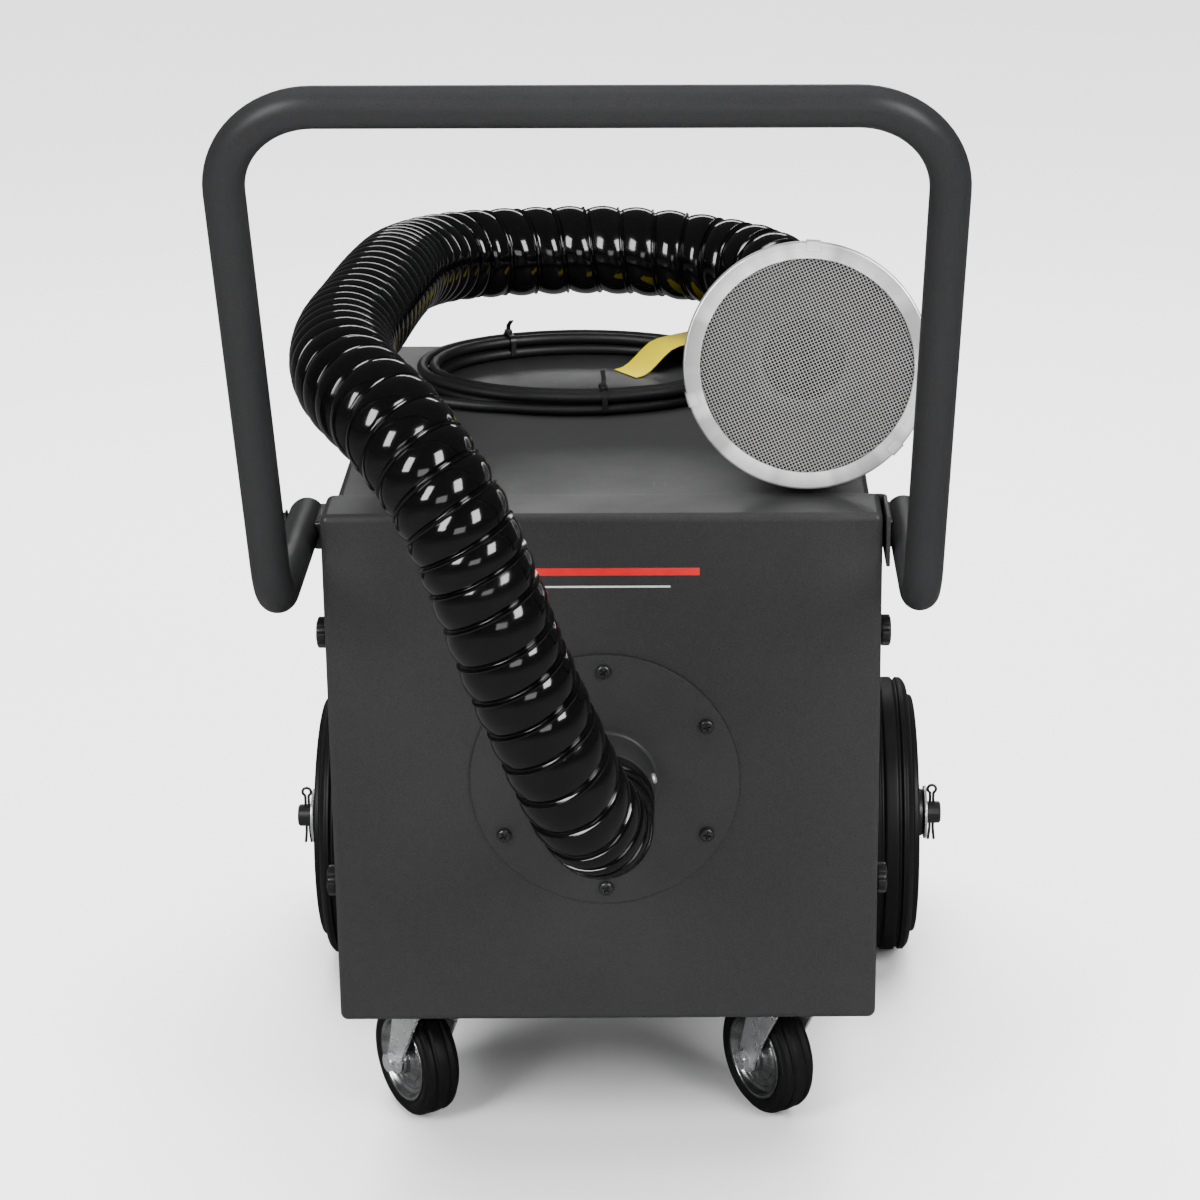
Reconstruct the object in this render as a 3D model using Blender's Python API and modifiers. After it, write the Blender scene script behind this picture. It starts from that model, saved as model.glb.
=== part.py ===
"""Mobile welding fume extractor: a wheeled filter and fan cabinet with a self-supporting hose arm."""

import math

import bmesh
import bpy
import numpy as np
from mathutils import Matrix, Vector

# All sizes are in metres. X runs to the right, +Y to the back, Z up from the floor.
# A depth is measured back from the plane of the front cover.

# Fits and cutters
FIT = 0.0003
OVERRUN = 0.004

# Cabinet
COVER_WIDTH = 0.42
COVER_HEIGHT = 0.42
COVER_DEPTH = 0.048
CABINET_DEPTH = 0.46
FRONT_Y = -0.157
GROUND_GAP = 0.139
SHEET = 0.0015
SIDE_STEP = 0.007
FOLD_RADIUS = 0.006
COVER_GAP = 0.006
PAN_FLANGE = 0.025
REAR_FLANGE = 0.018

# Inlet on the front cover
INLET_RISE = 0.206
FLANGE_RADIUS = 0.103
FLANGE_THICKNESS = 0.002
COLLAR_RADIUS = 0.0385
COLLAR_WALL = 0.0015
COLLAR_LENGTH = 0.038
SCREW_CIRCLE = 0.09
SCREW_COUNT = 6
SCREW_HEAD_RADIUS = 0.0057
SCREW_HEAD_HEIGHT = 0.0034
SCREW_RADIUS = 0.002
SCREW_LENGTH = 0.011

# Knobs that hold the front cover
KNOB_DEPTH = 0.03
KNOB_RISE = 0.108
KNOB_DROP = 0.104
KNOB_RADIUS = 0.012
KNOB_THICKNESS = 0.0085
KNOB_FLUTES = 6
KNOB_FLUTE_RADIUS = 0.0035
KNOB_STEM_RADIUS = 0.003
KNOB_STEM_LENGTH = 0.016
BOSS_RADIUS = 0.007
CATCH_HEIGHT = 0.04
CATCH_SHEET = 0.003
CATCH_GAP = 0.0025

# Handle
HANDLE_TUBE_RADIUS = 0.014
HANDLE_WALL = 0.0015
HANDLE_STANDOFF = 0.029
HANDLE_SPLAY = 0.0072
HANDLE_DROP = 0.033
HANDLE_REAR_DEPTH = 0.107
HANDLE_ELBOW_DEPTH = -0.0965
HANDLE_TOP_DEPTH = -0.2137
HANDLE_TOP_RISE = 0.355
HANDLE_ELBOW_RADIUS = 0.046
HANDLE_CORNER_RADIUS = 0.062
HANDLE_BOLT_DEPTHS = (0.062, 0.092)
HANDLE_BOLT_RADIUS = 0.003
HANDLE_BOLT_HEAD = 0.0055
SADDLE_LENGTH = 0.046
SADDLE_HEIGHT = 0.022
SADDLE_HUG = 0.003

# Rear wheels
WHEEL_RADIUS = 0.125
WHEEL_STEPS = 24
WHEEL_WIDTH = 0.05
WHEEL_GAP = 0.007
AXLE_FROM_REAR = 0.04
TYRE_THICKNESS = 0.0335
WHEEL_HUB_RADIUS = 0.022
WHEEL_HUB_WIDTH = 0.07
AXLE_RADIUS = 0.01
AXLE_BEYOND_PIN = 0.009
WASHER_RADIUS = 0.024
WASHER_THICKNESS = 0.0025
PIN_RADIUS = 0.0018
PIN_EYE_RADIUS = 0.0036
PIN_LENGTH = 0.058
BRACKET_INSET = 0.06
BRACKET_WIDTH = 0.03
BRACKET_LENGTH = 0.036
BRACKET_BELOW_AXLE = 0.015

# Front casters
CASTER_INSET = 0.065
CASTER_DEPTH = 0.085
CASTER_TURN = math.radians(33)
CASTER_TRAIL = 0.031
CASTER_RADIUS = 0.05
CASTER_STEPS = 20
CASTER_TYRE_WIDTH = 0.032
CASTER_TYRE_THICKNESS = 0.014
CASTER_PLATE_WIDTH = 0.09
CASTER_PLATE_LENGTH = 0.07
CASTER_PLATE_THICKNESS = 0.003
CASTER_RACE_RADIUS = 0.026
CASTER_RACE_HEIGHT = 0.008
FORK_WIDTH = 0.044
FORK_TOP_LENGTH = 0.05
FORK_FOOT_LENGTH = 0.022
FORK_SHEET = 0.0025
FORK_FOOT_DROP = 0.011
CASTER_BOLT_RADIUS = 0.004
CASTER_BOLT_HEAD = 0.0085
CASTER_BOLT_HEAD_HEIGHT = 0.006

# Hose arm, along its middle. The riser is a list of (x, depth), with shares of the height from the
# inlet to the lid, and the arm a list of (x, depth, height over the lid).
HOSE_RADIUS = 0.0385
HOSE_INSET = 0.0032
HOSE_BORE_RADIUS = 0.030
HOSE_STRAIGHT = 0.077
HOSE_RIB_SHARE = 0.5
RISER_ROUTE = (
    (-0.001, -0.120),
    (-0.0125, -0.158),
    (-0.0285, -0.180),
    (-0.0560, -0.190),
)
RISER_HEIGHT_SHARES = (0.0801, 0.2451, 0.4713, 0.8186)
ARM_ROUTE = (
    (-0.0710, -0.193, 0.0078),
    (-0.0970, -0.186, 0.0708),
    (-0.1340, -0.150, 0.1148),
    (-0.1740, -0.080, 0.1308),
    (-0.1885, 0.020, 0.1283),
    (-0.1840, 0.120, 0.1243),
    (-0.1765, 0.230, 0.1188),
    (-0.1690, 0.330, 0.1058),
    (-0.1390, 0.415, 0.0933),
    (-0.0693, 0.455, 0.0878),
    (0.0085, 0.460, 0.0868),
    (0.0867, 0.442, 0.0823),
    (0.1387, 0.385, 0.0818),
    (0.1570, 0.300, 0.0718),
)
# Each stretch of the hose as its end, a share of the arm's length, and the pitch of its ribs.
HOSE_STRETCH_SHARES = (0.07, 0.21, 0.3, 0.62, 0.68, 0.88, 1)
HOSE_PITCHES = (0.017, 0.0275, 0.0215, 0.0205, 0.0235, 0.029, 0.019)

# Nozzle
NOZZLE_X = 0.1546
NOZZLE_DEPTH = 0.06
NOZZLE_RISE = 0.0993
NOZZLE_TILT = math.radians(12)
NOZZLE_RADIUS = 0.0937
NOZZLE_STEPS = 28
NOZZLE_SHEET = 0.0012
RING_BORE_RADIUS = 0.0807
RING_SKIRT = 0.014
CONE_LENGTH = 0.066
SPIGOT_RADIUS = 0.034
SPIGOT_LENGTH = 0.009
CUFF_RADIUS = 0.041
CUFF_LENGTH = 0.036
BALL_RADIUS = 0.0372
BALL_HALF_WIDTH = 0.009
BALL_NECK_RADIUS = 0.0315
CUFF_BORE_RADIUS = 0.0379
GUARD_CELLS = 10
GUARD_WIRE = 0.0018
GUARD_RADIUS_SHARE = 0.93

# Inside the cabinet
FILTER_SIDE_GAP = 0.0215
FILTER_HEADROOM = 0.05
FILTER_DEPTH = 0.12
FILTER_FRONT = 0.062
FILTER_FRAME_SHEET = 0.003
PLEAT_COUNT = 16
PLEAT_SHEET = 0.003
FAN_PLATE_DEPTH = 0.20
FAN_RADIUS = 0.1
FAN_WIDTH = 0.045
FAN_DISC = 0.003
FAN_HUB_RADIUS = 0.018
FAN_HUB_LENGTH = 0.027
BLADE_COUNT = 8
BLADE_THICKNESS = 0.003
BLADE_SWEEP = math.radians(50)
FAN_INLET_RADIUS = 0.07
FAN_RUNNING_GAP = 0.006
SHAFT_RADIUS = 0.006
MOTOR_RADIUS = 0.055
MOTOR_LENGTH = 0.105
MOTOR_BRACKET_WIDTH = 0.13
MOTOR_BRACKET_SHEET = 0.003
MOTOR_BRACKET_FOOT = 0.07

# On the rear panel
GRILLE_WIDTH = 0.24
GRILLE_FOOT = 0.091
GRILLE_HEAD = 0.129
GRILLE_THICKNESS = 0.002
GRILLE_LAP = 0.01
GRILLE_SLOTS = 9
GRILLE_SLOT_HEIGHT = 0.008
SWITCH_INSET = 0.09
SWITCH_DROP = 0.0572
SWITCH_WIDTH = 0.032
SWITCH_HEIGHT = 0.026
SWITCH_DEPTH = 0.02
SWITCH_RIM = 0.003
SWITCH_BEZEL = 0.002
ROCKER_THICKNESS = 0.006
ROCKER_RISE = 0.0022
ROCKER_TILT = math.radians(8)
GLAND_INSET = 0.06
GLAND_DROP = 0.0572
GLAND_RADIUS = 0.011
GLAND_LENGTH = 0.026
GLAND_THREAD_RADIUS = 0.0085
GLAND_INSIDE = 0.008

# Mains cord. Its free stretch is a list of (x from the gland, distance behind the rear panel, height
# over the lid), its coil a formula.
CORD_RADIUS = 0.0045
CORD_REST = 0.0048
CORD_ROUTE = (
    (-0.016, 0.087, -0.050),
    (-0.050, 0.092, -0.030),
    (-0.079, 0.062, -0.008),
    (-0.0885, 0.002, 0.0095),
    (-0.083, -0.058, 0.0155),
    (-0.067, -0.113, 0.0135),
    (-0.041, -0.152, 0.0075),
    (-0.005, -0.1735, 0.0048),
)
CORD_POINTS = 32
COIL_X = -0.028
COIL_BEHIND = -0.108
COIL_HALF_WIDTH = 0.137
COIL_HALF_DEPTH = 0.098
COIL_START = math.radians(-115)
COIL_STEP = 0.0102
COIL_TURNS = 2.1
COIL_LOOP_POINTS = 24
LEAD_ROUTE = (
    (0.104, -0.1475, 0.0144),
    (0.132, -0.1300, 0.0138),
)
PLUG_X = 0.15
PLUG_BEHIND = -0.1
PLUG_WIDTH = 0.046
PLUG_LENGTH = 0.044
PLUG_HEIGHT = 0.026
PLUG_PIN_LENGTH = 0.017
PLUG_PIN_WIDTH = 0.0063
PLUG_PIN_THICKNESS = 0.004
PLUG_PIN_SPACING = 0.022
PLUG_EDGE = 0.004

# Places worked out from the sizes above
BASE_Z = GROUND_GAP + SHEET + FIT
LID_Z = GROUND_GAP + COVER_HEIGHT - SHEET - FIT
CASING_WIDTH = COVER_WIDTH - 2 * SIDE_STEP
CASING_FRONT = SHEET + COVER_GAP
INNER_WIDTH = CASING_WIDTH - 2 * SHEET
HANDLE_SPACING = CASING_WIDTH + 2 * HANDLE_STANDOFF
HANDLE_TOP_SPACING = HANDLE_SPACING + 2 * HANDLE_SPLAY
WHEEL_INNER_X = COVER_WIDTH / 2 + WHEEL_GAP
WHEEL_DEPTH = CABINET_DEPTH - AXLE_FROM_REAR
WHEEL_RIM_RADIUS = WHEEL_RADIUS - TYRE_THICKNESS
BRACKET_X = COVER_WIDTH / 2 - BRACKET_INSET
CASTER_X = COVER_WIDTH / 2 - CASTER_INSET
CASTER_RIM_RADIUS = CASTER_RADIUS - CASTER_TYRE_THICKNESS
AXLE_Z = WHEEL_RADIUS * math.cos(math.pi / WHEEL_STEPS)
CASTER_Z = CASTER_RADIUS * math.cos(math.pi / CASTER_STEPS)
HOSE_END_RADIUS = COLLAR_RADIUS - COLLAR_WALL - 2 * FIT
FLOOR_TOP = BASE_Z + SHEET
INLET_Z = GROUND_GAP + INLET_RISE
FAN_Z = INLET_Z
NOZZLE_Z = LID_Z + NOZZLE_RISE
GRILLE_HEIGHT = COVER_HEIGHT - GRILLE_FOOT - GRILLE_HEAD
GRILLE_Z = GROUND_GAP + GRILLE_FOOT + GRILLE_HEIGHT / 2
SWITCH_X = COVER_WIDTH / 2 - SWITCH_INSET
SWITCH_Z = LID_Z - SWITCH_DROP
GLAND_X = GLAND_INSET - COVER_WIDTH / 2
GLAND_Z = LID_Z - GLAND_DROP
FILTER_WIDTH = INNER_WIDTH - 2 * FILTER_SIDE_GAP
FILTER_HEIGHT = COVER_HEIGHT - FILTER_HEADROOM
FACING = Vector((0, -math.cos(NOZZLE_TILT), math.sin(NOZZLE_TILT)))

PARTS = None
CUTTERS = None


def clear_scene():
    for obj in list(bpy.data.objects):
        bpy.data.objects.remove(obj)
    for collection in list(bpy.data.collections):
        bpy.data.collections.remove(collection)


def collection(name):
    made = bpy.data.collections.new(name)
    bpy.context.scene.collection.children.link(made)
    return made


def finish(name, colour, roughness, metallic=0.0):
    made = bpy.data.materials.new(name)
    made.use_nodes = True
    shader = made.node_tree.nodes["Principled BSDF"]
    shader.inputs["Base Color"].default_value = (*colour, 1)
    shader.inputs["Roughness"].default_value = roughness
    shader.inputs["Metallic"].default_value = metallic
    return made


def at(x, depth, z):
    """The point at this depth behind the front cover's face."""
    return Vector((x, FRONT_Y + depth, z))


def from_rear(x, behind, z):
    """The point this far behind the rear panel's face, or in front of it where the distance is negative."""
    return at(x, CABINET_DEPTH + behind, z)


def along(point, direction):
    """A placement whose Z axis runs along a direction."""
    return Matrix.Translation(point) @ Vector(direction).to_track_quat("Z", "Y").to_matrix().to_4x4()


def joint(name, point):
    """An empty on a joint's axis, for the pieces that move there."""
    empty = bpy.data.objects.new(name, None)
    empty.location = point
    PARTS.objects.link(empty)
    return empty


def place(obj, where, axis=None):
    """Puts the object at a placement and, if it moves, under the empty on its joint's axis."""
    if axis is not None:
        obj.parent = axis
        obj.matrix_parent_inverse = Matrix.Translation(axis.location).inverted()
    obj.matrix_basis = where
    return obj


def add(name, mesh, material, where=None, axis=None):
    obj = bpy.data.objects.new(name, mesh)
    mesh.materials.clear()
    mesh.materials.append(material)
    PARTS.objects.link(obj)
    return place(obj, where or Matrix.Identity(4), axis)


def cutter(name, mesh, where=None):
    obj = bpy.data.objects.new(name, mesh)
    obj.hide_render = True
    obj.display_type = "WIRE"
    CUTTERS.objects.link(obj)
    return place(obj, where or Matrix.Identity(4))


def boolean(obj, other, operation="DIFFERENCE"):
    modifier = obj.modifiers.new(other.name, "BOOLEAN")
    modifier.object = other
    modifier.operation = operation


def mesh_from(name, bm):
    mesh = bpy.data.meshes.new(name)
    bm.to_mesh(mesh)
    bm.free()
    return mesh


def box_mesh(name, size, centre, edge=0.0, segments=1):
    """A box, with its edges rounded by the width edge."""
    bm = bmesh.new()
    bmesh.ops.create_cube(bm, size=1, matrix=Matrix.Translation(centre) @ Matrix.Diagonal((*size, 1)))
    if edge:
        bmesh.ops.bevel(
            bm, geom=bm.edges[:], offset=edge, segments=segments, profile=0.5, affect="EDGES"
        )
    return mesh_from(name, bm)


def boxes_mesh(name, size, centres, turns=None):
    """Like boxes in one mesh. Each may be turned about Z."""
    bm = bmesh.new()
    for index, centre in enumerate(centres):
        turn = turns[index] if turns else Matrix.Identity(4)
        shape = turn @ Matrix.Translation(centre) @ Matrix.Diagonal((*size, 1))
        bmesh.ops.create_cube(bm, size=1, matrix=shape)
    return mesh_from(name, bm)


def rods_mesh(name, radius, length, places, sides=8):
    """Like cylinders in one mesh, each running along the Z axis of its placement, from 0 to length."""
    bm = bmesh.new()
    for where in places:
        bmesh.ops.create_cone(
            bm,
            cap_ends=True,
            segments=sides,
            radius1=radius,
            radius2=radius,
            depth=length,
            matrix=where @ Matrix.Translation((0, 0, length / 2)),
        )
    return mesh_from(name, bm)


def folded(name, low, high, open_sides, material, axis=None, fold=0.0, wall=SHEET):
    """A folded sheet: a box with some of its sides open, its wall inside the box. Sides are unit normals."""
    low, high = Vector(low), Vector(high)
    bm = bmesh.new()
    shape = Matrix.Translation((low + high) / 2) @ Matrix.Diagonal((*(high - low), 1))
    bmesh.ops.create_cube(bm, size=1, matrix=shape)
    bm.normal_update()
    gone = [f for f in bm.faces if any(f.normal.dot(Vector(side)) > 0.5 for side in open_sides)]
    bmesh.ops.delete(bm, geom=gone, context="FACES")
    if fold:
        inner = [e for e in bm.edges if len(e.link_faces) == 2]
        bmesh.ops.bevel(bm, geom=inner, offset=fold, segments=2, profile=0.5, affect="EDGES")
    obj = add(name, mesh_from(name, bm), material, axis=axis)
    shell = obj.modifiers.new("Sheet", "SOLIDIFY")
    shell.thickness = wall
    shell.offset = -1
    shell.use_even_offset = True
    return obj


def turned(name, profile, where, material, steps, axis=None, ring=False, turn=0.0):
    """A turned piece about Z. A ring's profile is closed, another's starts and ends on the axis."""
    mesh = bpy.data.meshes.new(name)
    edges = [(i, i + 1) for i in range(len(profile) - 1)]
    if ring:
        edges.append((len(profile) - 1, 0))
    mesh.from_pydata([(radius, 0, height) for radius, height in profile], edges, [])
    obj = add(name, mesh, material, where @ Matrix.Rotation(turn, 4, "Z"), axis)
    screw = obj.modifiers.new("Turn", "SCREW")
    screw.steps = steps
    screw.render_steps = steps
    screw.use_merge_vertices = True
    screw.merge_threshold = FIT / 10
    screw.use_smooth_shade = True
    return obj


def tube(name, points, radius, material, resolution=2, radii=None, axis=None):
    """A round bar along points, whose radius may change from point to point."""
    curve = bpy.data.curves.new(name, "CURVE")
    curve.dimensions = "3D"
    curve.bevel_depth = radius
    curve.bevel_resolution = resolution
    curve.use_fill_caps = True
    spline = curve.splines.new("POLY")
    spline.points.add(len(points) - 1)
    for index, point in enumerate(points):
        spline.points[index].co = (*point, 1)
        spline.points[index].radius = radii[index] / radius if radii else 1
    curve.materials.append(material)
    obj = bpy.data.objects.new(name, curve)
    PARTS.objects.link(obj)
    return place(obj, Matrix.Identity(4), axis)


def as_mesh(obj):
    """The same object as a mesh with welded caps, so that it can be cut or can cut."""
    bpy.context.view_layer.update()
    name, material, parent = obj.name, obj.data.materials[0], obj.parent
    graph = bpy.context.evaluated_depsgraph_get()
    mesh = bpy.data.meshes.new_from_object(obj.evaluated_get(graph))
    bpy.data.objects.remove(obj)
    bm = bmesh.new()
    bm.from_mesh(mesh)
    bmesh.ops.remove_doubles(bm, verts=bm.verts[:], dist=FIT / 10)
    bmesh.ops.recalc_face_normals(bm, faces=bm.faces[:])
    bm.to_mesh(mesh)
    bm.free()
    mesh.shade_smooth()
    return add(name, mesh, material, axis=parent)


def smooth_line(points, step):
    """Points a steady step apart along a smooth curve through the given ones."""
    given = np.array([tuple(p) for p in points], dtype=float)
    ends = np.vstack([2 * given[0] - given[1], given, 2 * given[-1] - given[-2]])
    shares = np.linspace(0, 1, 24, endpoint=False)[:, None]
    runs = []
    for a, b, c, d in zip(ends, ends[1:], ends[2:], ends[3:]):
        linear = (c - a) * shares
        square = (2 * a - 5 * b + 4 * c - d) * shares**2
        cube = (3 * b - a - 3 * c + d) * shares**3
        runs.append(b + (linear + square + cube) / 2)
    fine = np.vstack([*runs, given[-1:]])
    reach = np.concatenate([[0], np.cumsum(np.linalg.norm(np.diff(fine, axis=0), axis=1))])
    wanted = np.linspace(0, reach[-1], max(2, round(reach[-1] / step) + 1))
    return np.stack([np.interp(wanted, reach, fine[:, k]) for k in range(3)], axis=1)


def lengths_along(points):
    return np.concatenate([[0], np.cumsum(np.linalg.norm(np.diff(points, axis=0), axis=1))])


def rounded_path(corners, radii, turns=5):
    """Straight runs through corners, each corner rounded by its own radius."""
    path = [Vector(corners[0])]
    for before, corner, after, radius in zip(corners, corners[1:], corners[2:], radii):
        corner = Vector(corner)
        to, away = (corner - Vector(before)).normalized(), (Vector(after) - corner).normalized()
        bend = to.angle(away)
        back = radius * math.tan(bend / 2)
        centre = corner + (away - to).normalized() * radius / math.cos(bend / 2)
        start = corner - to * back - centre
        axis = to.cross(away).normalized()
        for k in range(turns + 1):
            path.append(centre + Matrix.Rotation(bend * k / turns, 3, axis) @ start)
    path.append(Vector(corners[-1]))
    return path


# Cabinet


def screw_places(depth, direction=(0, 1, 0)):
    """The flange screws' placements at a depth, the first at the top."""
    places = []
    for k in range(SCREW_COUNT):
        turn = math.tau * k / SCREW_COUNT
        x, z = SCREW_CIRCLE * math.sin(turn), INLET_Z + SCREW_CIRCLE * math.cos(turn)
        places.append(along(at(x, depth, z), direction))
    return places


def knob_spots():
    """Name, side and height of each knob."""
    for side_name, side in (("left", -1), ("right", 1)):
        yield side_name + "_lower", side, GROUND_GAP + KNOB_RISE
        yield side_name + "_upper", side, GROUND_GAP + COVER_HEIGHT - KNOB_DROP


def front_cover(material, axis):
    half = COVER_WIDTH / 2
    cover = folded(
        "front_cover",
        at(-half, 0, GROUND_GAP),
        at(half, COVER_DEPTH, GROUND_GAP + COVER_HEIGHT),
        [(0, 1, 0)],
        material,
        axis,
        FOLD_RADIUS,
    )
    through = SHEET + 2 * OVERRUN
    hole = rods_mesh(
        "inlet_hole", COLLAR_RADIUS, through, [along(at(0, -OVERRUN, INLET_Z), (0, 1, 0))], 24
    )
    boolean(cover, cutter("inlet_hole", hole))
    screws = rods_mesh("cover_screw_holes", SCREW_RADIUS + FIT, through, screw_places(-OVERRUN))
    boolean(cover, cutter("cover_screw_holes", screws))
    width = 2 * (KNOB_STEM_RADIUS + FIT)
    length = COVER_DEPTH - KNOB_DEPTH + KNOB_STEM_RADIUS + FIT + OVERRUN
    middle = KNOB_DEPTH - KNOB_STEM_RADIUS - FIT + length / 2
    centres = [at(side * half, middle, z) for _, side, z in knob_spots()]
    slots = boxes_mesh("knob_slots", (through, length, width), centres)
    boolean(cover, cutter("knob_slots", slots))


def casing_wrap(material):
    half = CASING_WIDTH / 2
    wrap = folded(
        "casing_wrap",
        at(-half, CASING_FRONT, BASE_Z),
        at(half, CABINET_DEPTH, LID_Z),
        [(0, -1, 0), (0, 1, 0), (0, 0, -1)],
        material,
        fold=FOLD_RADIUS,
    )
    reach = SIDE_STEP - SHEET - FIT
    for name, side, z in knob_spots():
        root = at(side * (half - SHEET / 2), KNOB_DEPTH, z)
        post = rods_mesh("boss_" + name, BOSS_RADIUS, reach + SHEET / 2, [along(root, (side, 0, 0))], 8)
        boolean(wrap, cutter("boss_" + name, post), "UNION")
    spots = [at(-half - OVERRUN - SIDE_STEP, KNOB_DEPTH, z) for _, side, z in knob_spots() if side > 0]
    through = CASING_WIDTH + 2 * (OVERRUN + SIDE_STEP)
    stems = rods_mesh(
        "stem_holes", KNOB_STEM_RADIUS + FIT, through, [along(p, (1, 0, 0)) for p in spots], 10
    )
    boolean(wrap, cutter("stem_holes", stems))
    bolts = [at(-half - OVERRUN, depth, LID_Z - HANDLE_DROP) for depth in HANDLE_BOLT_DEPTHS]
    holes = rods_mesh(
        "wrap_bolt_holes",
        HANDLE_BOLT_RADIUS + FIT,
        CASING_WIDTH + 2 * OVERRUN,
        [along(p, (1, 0, 0)) for p in bolts],
        10,
    )
    boolean(wrap, cutter("wrap_bolt_holes", holes))


def base_pan(material):
    """The floor, with the two brackets that carry the axle welded under it."""
    half = INNER_WIDTH / 2 - FIT
    back = CABINET_DEPTH - REAR_FLANGE - FIT
    pan = folded(
        "base_pan",
        at(-half, CASING_FRONT, BASE_Z),
        at(half, back, BASE_Z + PAN_FLANGE),
        [(0, 0, 1), (0, -1, 0), (0, 1, 0)],
        material,
    )
    low, high = AXLE_Z - BRACKET_BELOW_AXLE, BASE_Z + SHEET / 2
    size = (BRACKET_WIDTH, BRACKET_LENGTH, high - low)
    centres = [at(side * BRACKET_X, WHEEL_DEPTH, (low + high) / 2) for side in (-1, 1)]
    boolean(pan, cutter("axle_brackets", boxes_mesh("axle_brackets", size, centres)), "UNION")
    length = 2 * BRACKET_X + BRACKET_WIDTH + 2 * OVERRUN
    start = along(at(-length / 2, WHEEL_DEPTH, AXLE_Z), (1, 0, 0))
    hole = rods_mesh("axle_hole", AXLE_RADIUS + 2 * FIT, length, [start], 16)
    boolean(pan, cutter("axle_hole", hole))


def rear_panel(material):
    half = INNER_WIDTH / 2 - FIT
    panel = folded(
        "rear_panel",
        at(-half, CABINET_DEPTH - REAR_FLANGE, BASE_Z),
        at(half, CABINET_DEPTH, LID_Z - SHEET - FIT),
        [(0, -1, 0)],
        material,
        fold=FOLD_RADIUS,
    )
    through = SHEET + 2 * OVERRUN
    width, height = GRILLE_WIDTH - 2 * GRILLE_LAP, GRILLE_HEIGHT - 2 * GRILLE_LAP
    opening = box_mesh("grille_opening", (width, through, height), at(0, CABINET_DEPTH, GRILLE_Z))
    boolean(panel, cutter("grille_opening", opening))
    size = (SWITCH_WIDTH - 2 * SWITCH_RIM, through, SWITCH_HEIGHT - 2 * SWITCH_RIM)
    switch_hole = box_mesh("switch_hole", size, at(SWITCH_X, CABINET_DEPTH, SWITCH_Z))
    boolean(panel, cutter("switch_hole", switch_hole))
    start = at(GLAND_X, CABINET_DEPTH - SHEET - OVERRUN, GLAND_Z)
    gland_hole = rods_mesh(
        "gland_hole", GLAND_THREAD_RADIUS + FIT, through, [along(start, (0, 1, 0))], 16
    )
    boolean(panel, cutter("gland_hole", gland_hole))


def cover_catch(material):
    """A folded strip on the right wall that holds the cover's edge, with its plate outside the cover."""
    inner = COVER_WIDTH / 2 + CATCH_GAP
    outer = inner + CATCH_SHEET
    root = CASING_WIDTH / 2 + FIT
    back = COVER_DEPTH + CATCH_GAP
    low, high = LID_Z - CATCH_HEIGHT, LID_Z
    plate = box_mesh(
        "cover_catch",
        (CATCH_SHEET, back + CATCH_SHEET, CATCH_HEIGHT),
        at((inner + outer) / 2, (back + CATCH_SHEET) / 2, (low + high) / 2),
    )
    catch = add("cover_catch", plate, material)
    web = box_mesh(
        "catch_web",
        (outer - root, CATCH_SHEET, CATCH_HEIGHT),
        at((outer + root) / 2, back + CATCH_SHEET / 2, (low + high) / 2),
    )
    boolean(catch, cutter("catch_web", web), "UNION")


def cover_knobs(material):
    for name, side, z in knob_spots():
        seat = COVER_WIDTH / 2 + FIT
        spin = joint("cover_knob_" + name + "_axis", at(side * seat, KNOB_DEPTH, z))
        where = along(at(side * seat, KNOB_DEPTH, z), (side, 0, 0))
        edge = KNOB_THICKNESS / 5
        profile = [
            (0, KNOB_THICKNESS),
            (KNOB_RADIUS - edge, KNOB_THICKNESS),
            (KNOB_RADIUS, KNOB_THICKNESS - edge),
            (KNOB_RADIUS, 0),
            (KNOB_STEM_RADIUS, 0),
            (KNOB_STEM_RADIUS, -KNOB_STEM_LENGTH),
            (0, -KNOB_STEM_LENGTH),
        ]
        knob = turned("cover_knob_" + name, profile, where, material, 2 * KNOB_FLUTES, spin)
        flutes = [
            where
            @ Matrix.Rotation(math.tau * k / KNOB_FLUTES, 4, "Z")
            @ Matrix.Translation((KNOB_RADIUS + KNOB_FLUTE_RADIUS / 3, 0, -OVERRUN))
            for k in range(KNOB_FLUTES)
        ]
        length = KNOB_THICKNESS + 2 * OVERRUN
        mesh = rods_mesh("flutes_" + name, KNOB_FLUTE_RADIUS, length, flutes, 5)
        boolean(knob, cutter("flutes_" + name, mesh))


# Inlet


def inlet_flange(material, axis):
    bore = COLLAR_RADIUS - COLLAR_WALL
    front = FLANGE_THICKNESS + FIT
    profile = [
        (bore, COLLAR_LENGTH + FIT),
        (COLLAR_RADIUS, COLLAR_LENGTH + FIT),
        (COLLAR_RADIUS, front),
        (FLANGE_RADIUS, front),
        (FLANGE_RADIUS, FIT),
        (bore, FIT),
    ]
    where = along(at(0, 0, INLET_Z), (0, -1, 0))
    flange = turned("inlet_flange", profile, where, material, 28, axis, ring=True)
    length = FLANGE_THICKNESS + 2 * OVERRUN
    holes = screw_places(-FLANGE_THICKNESS - OVERRUN)
    mesh = rods_mesh("flange_screw_holes", SCREW_RADIUS + FIT, length, holes)
    boolean(flange, cutter("flange_screw_holes", mesh))


def flange_screws(material, axis):
    head, height = SCREW_HEAD_RADIUS, SCREW_HEAD_HEIGHT
    dome_share = 0.6
    profile = [
        (0, height),
        (head * dome_share, height),
        (head, height * dome_share),
        (head, 0),
        (SCREW_RADIUS, 0),
        (SCREW_RADIUS, -SCREW_LENGTH),
        (0, -SCREW_LENGTH),
    ]
    places = screw_places(-FLANGE_THICKNESS - 2 * FIT, (0, -1, 0))
    for number, where in enumerate(places, 1):
        turned(f"flange_screw_{number}", profile, where, material, 8, axis)


# Handle


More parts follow.
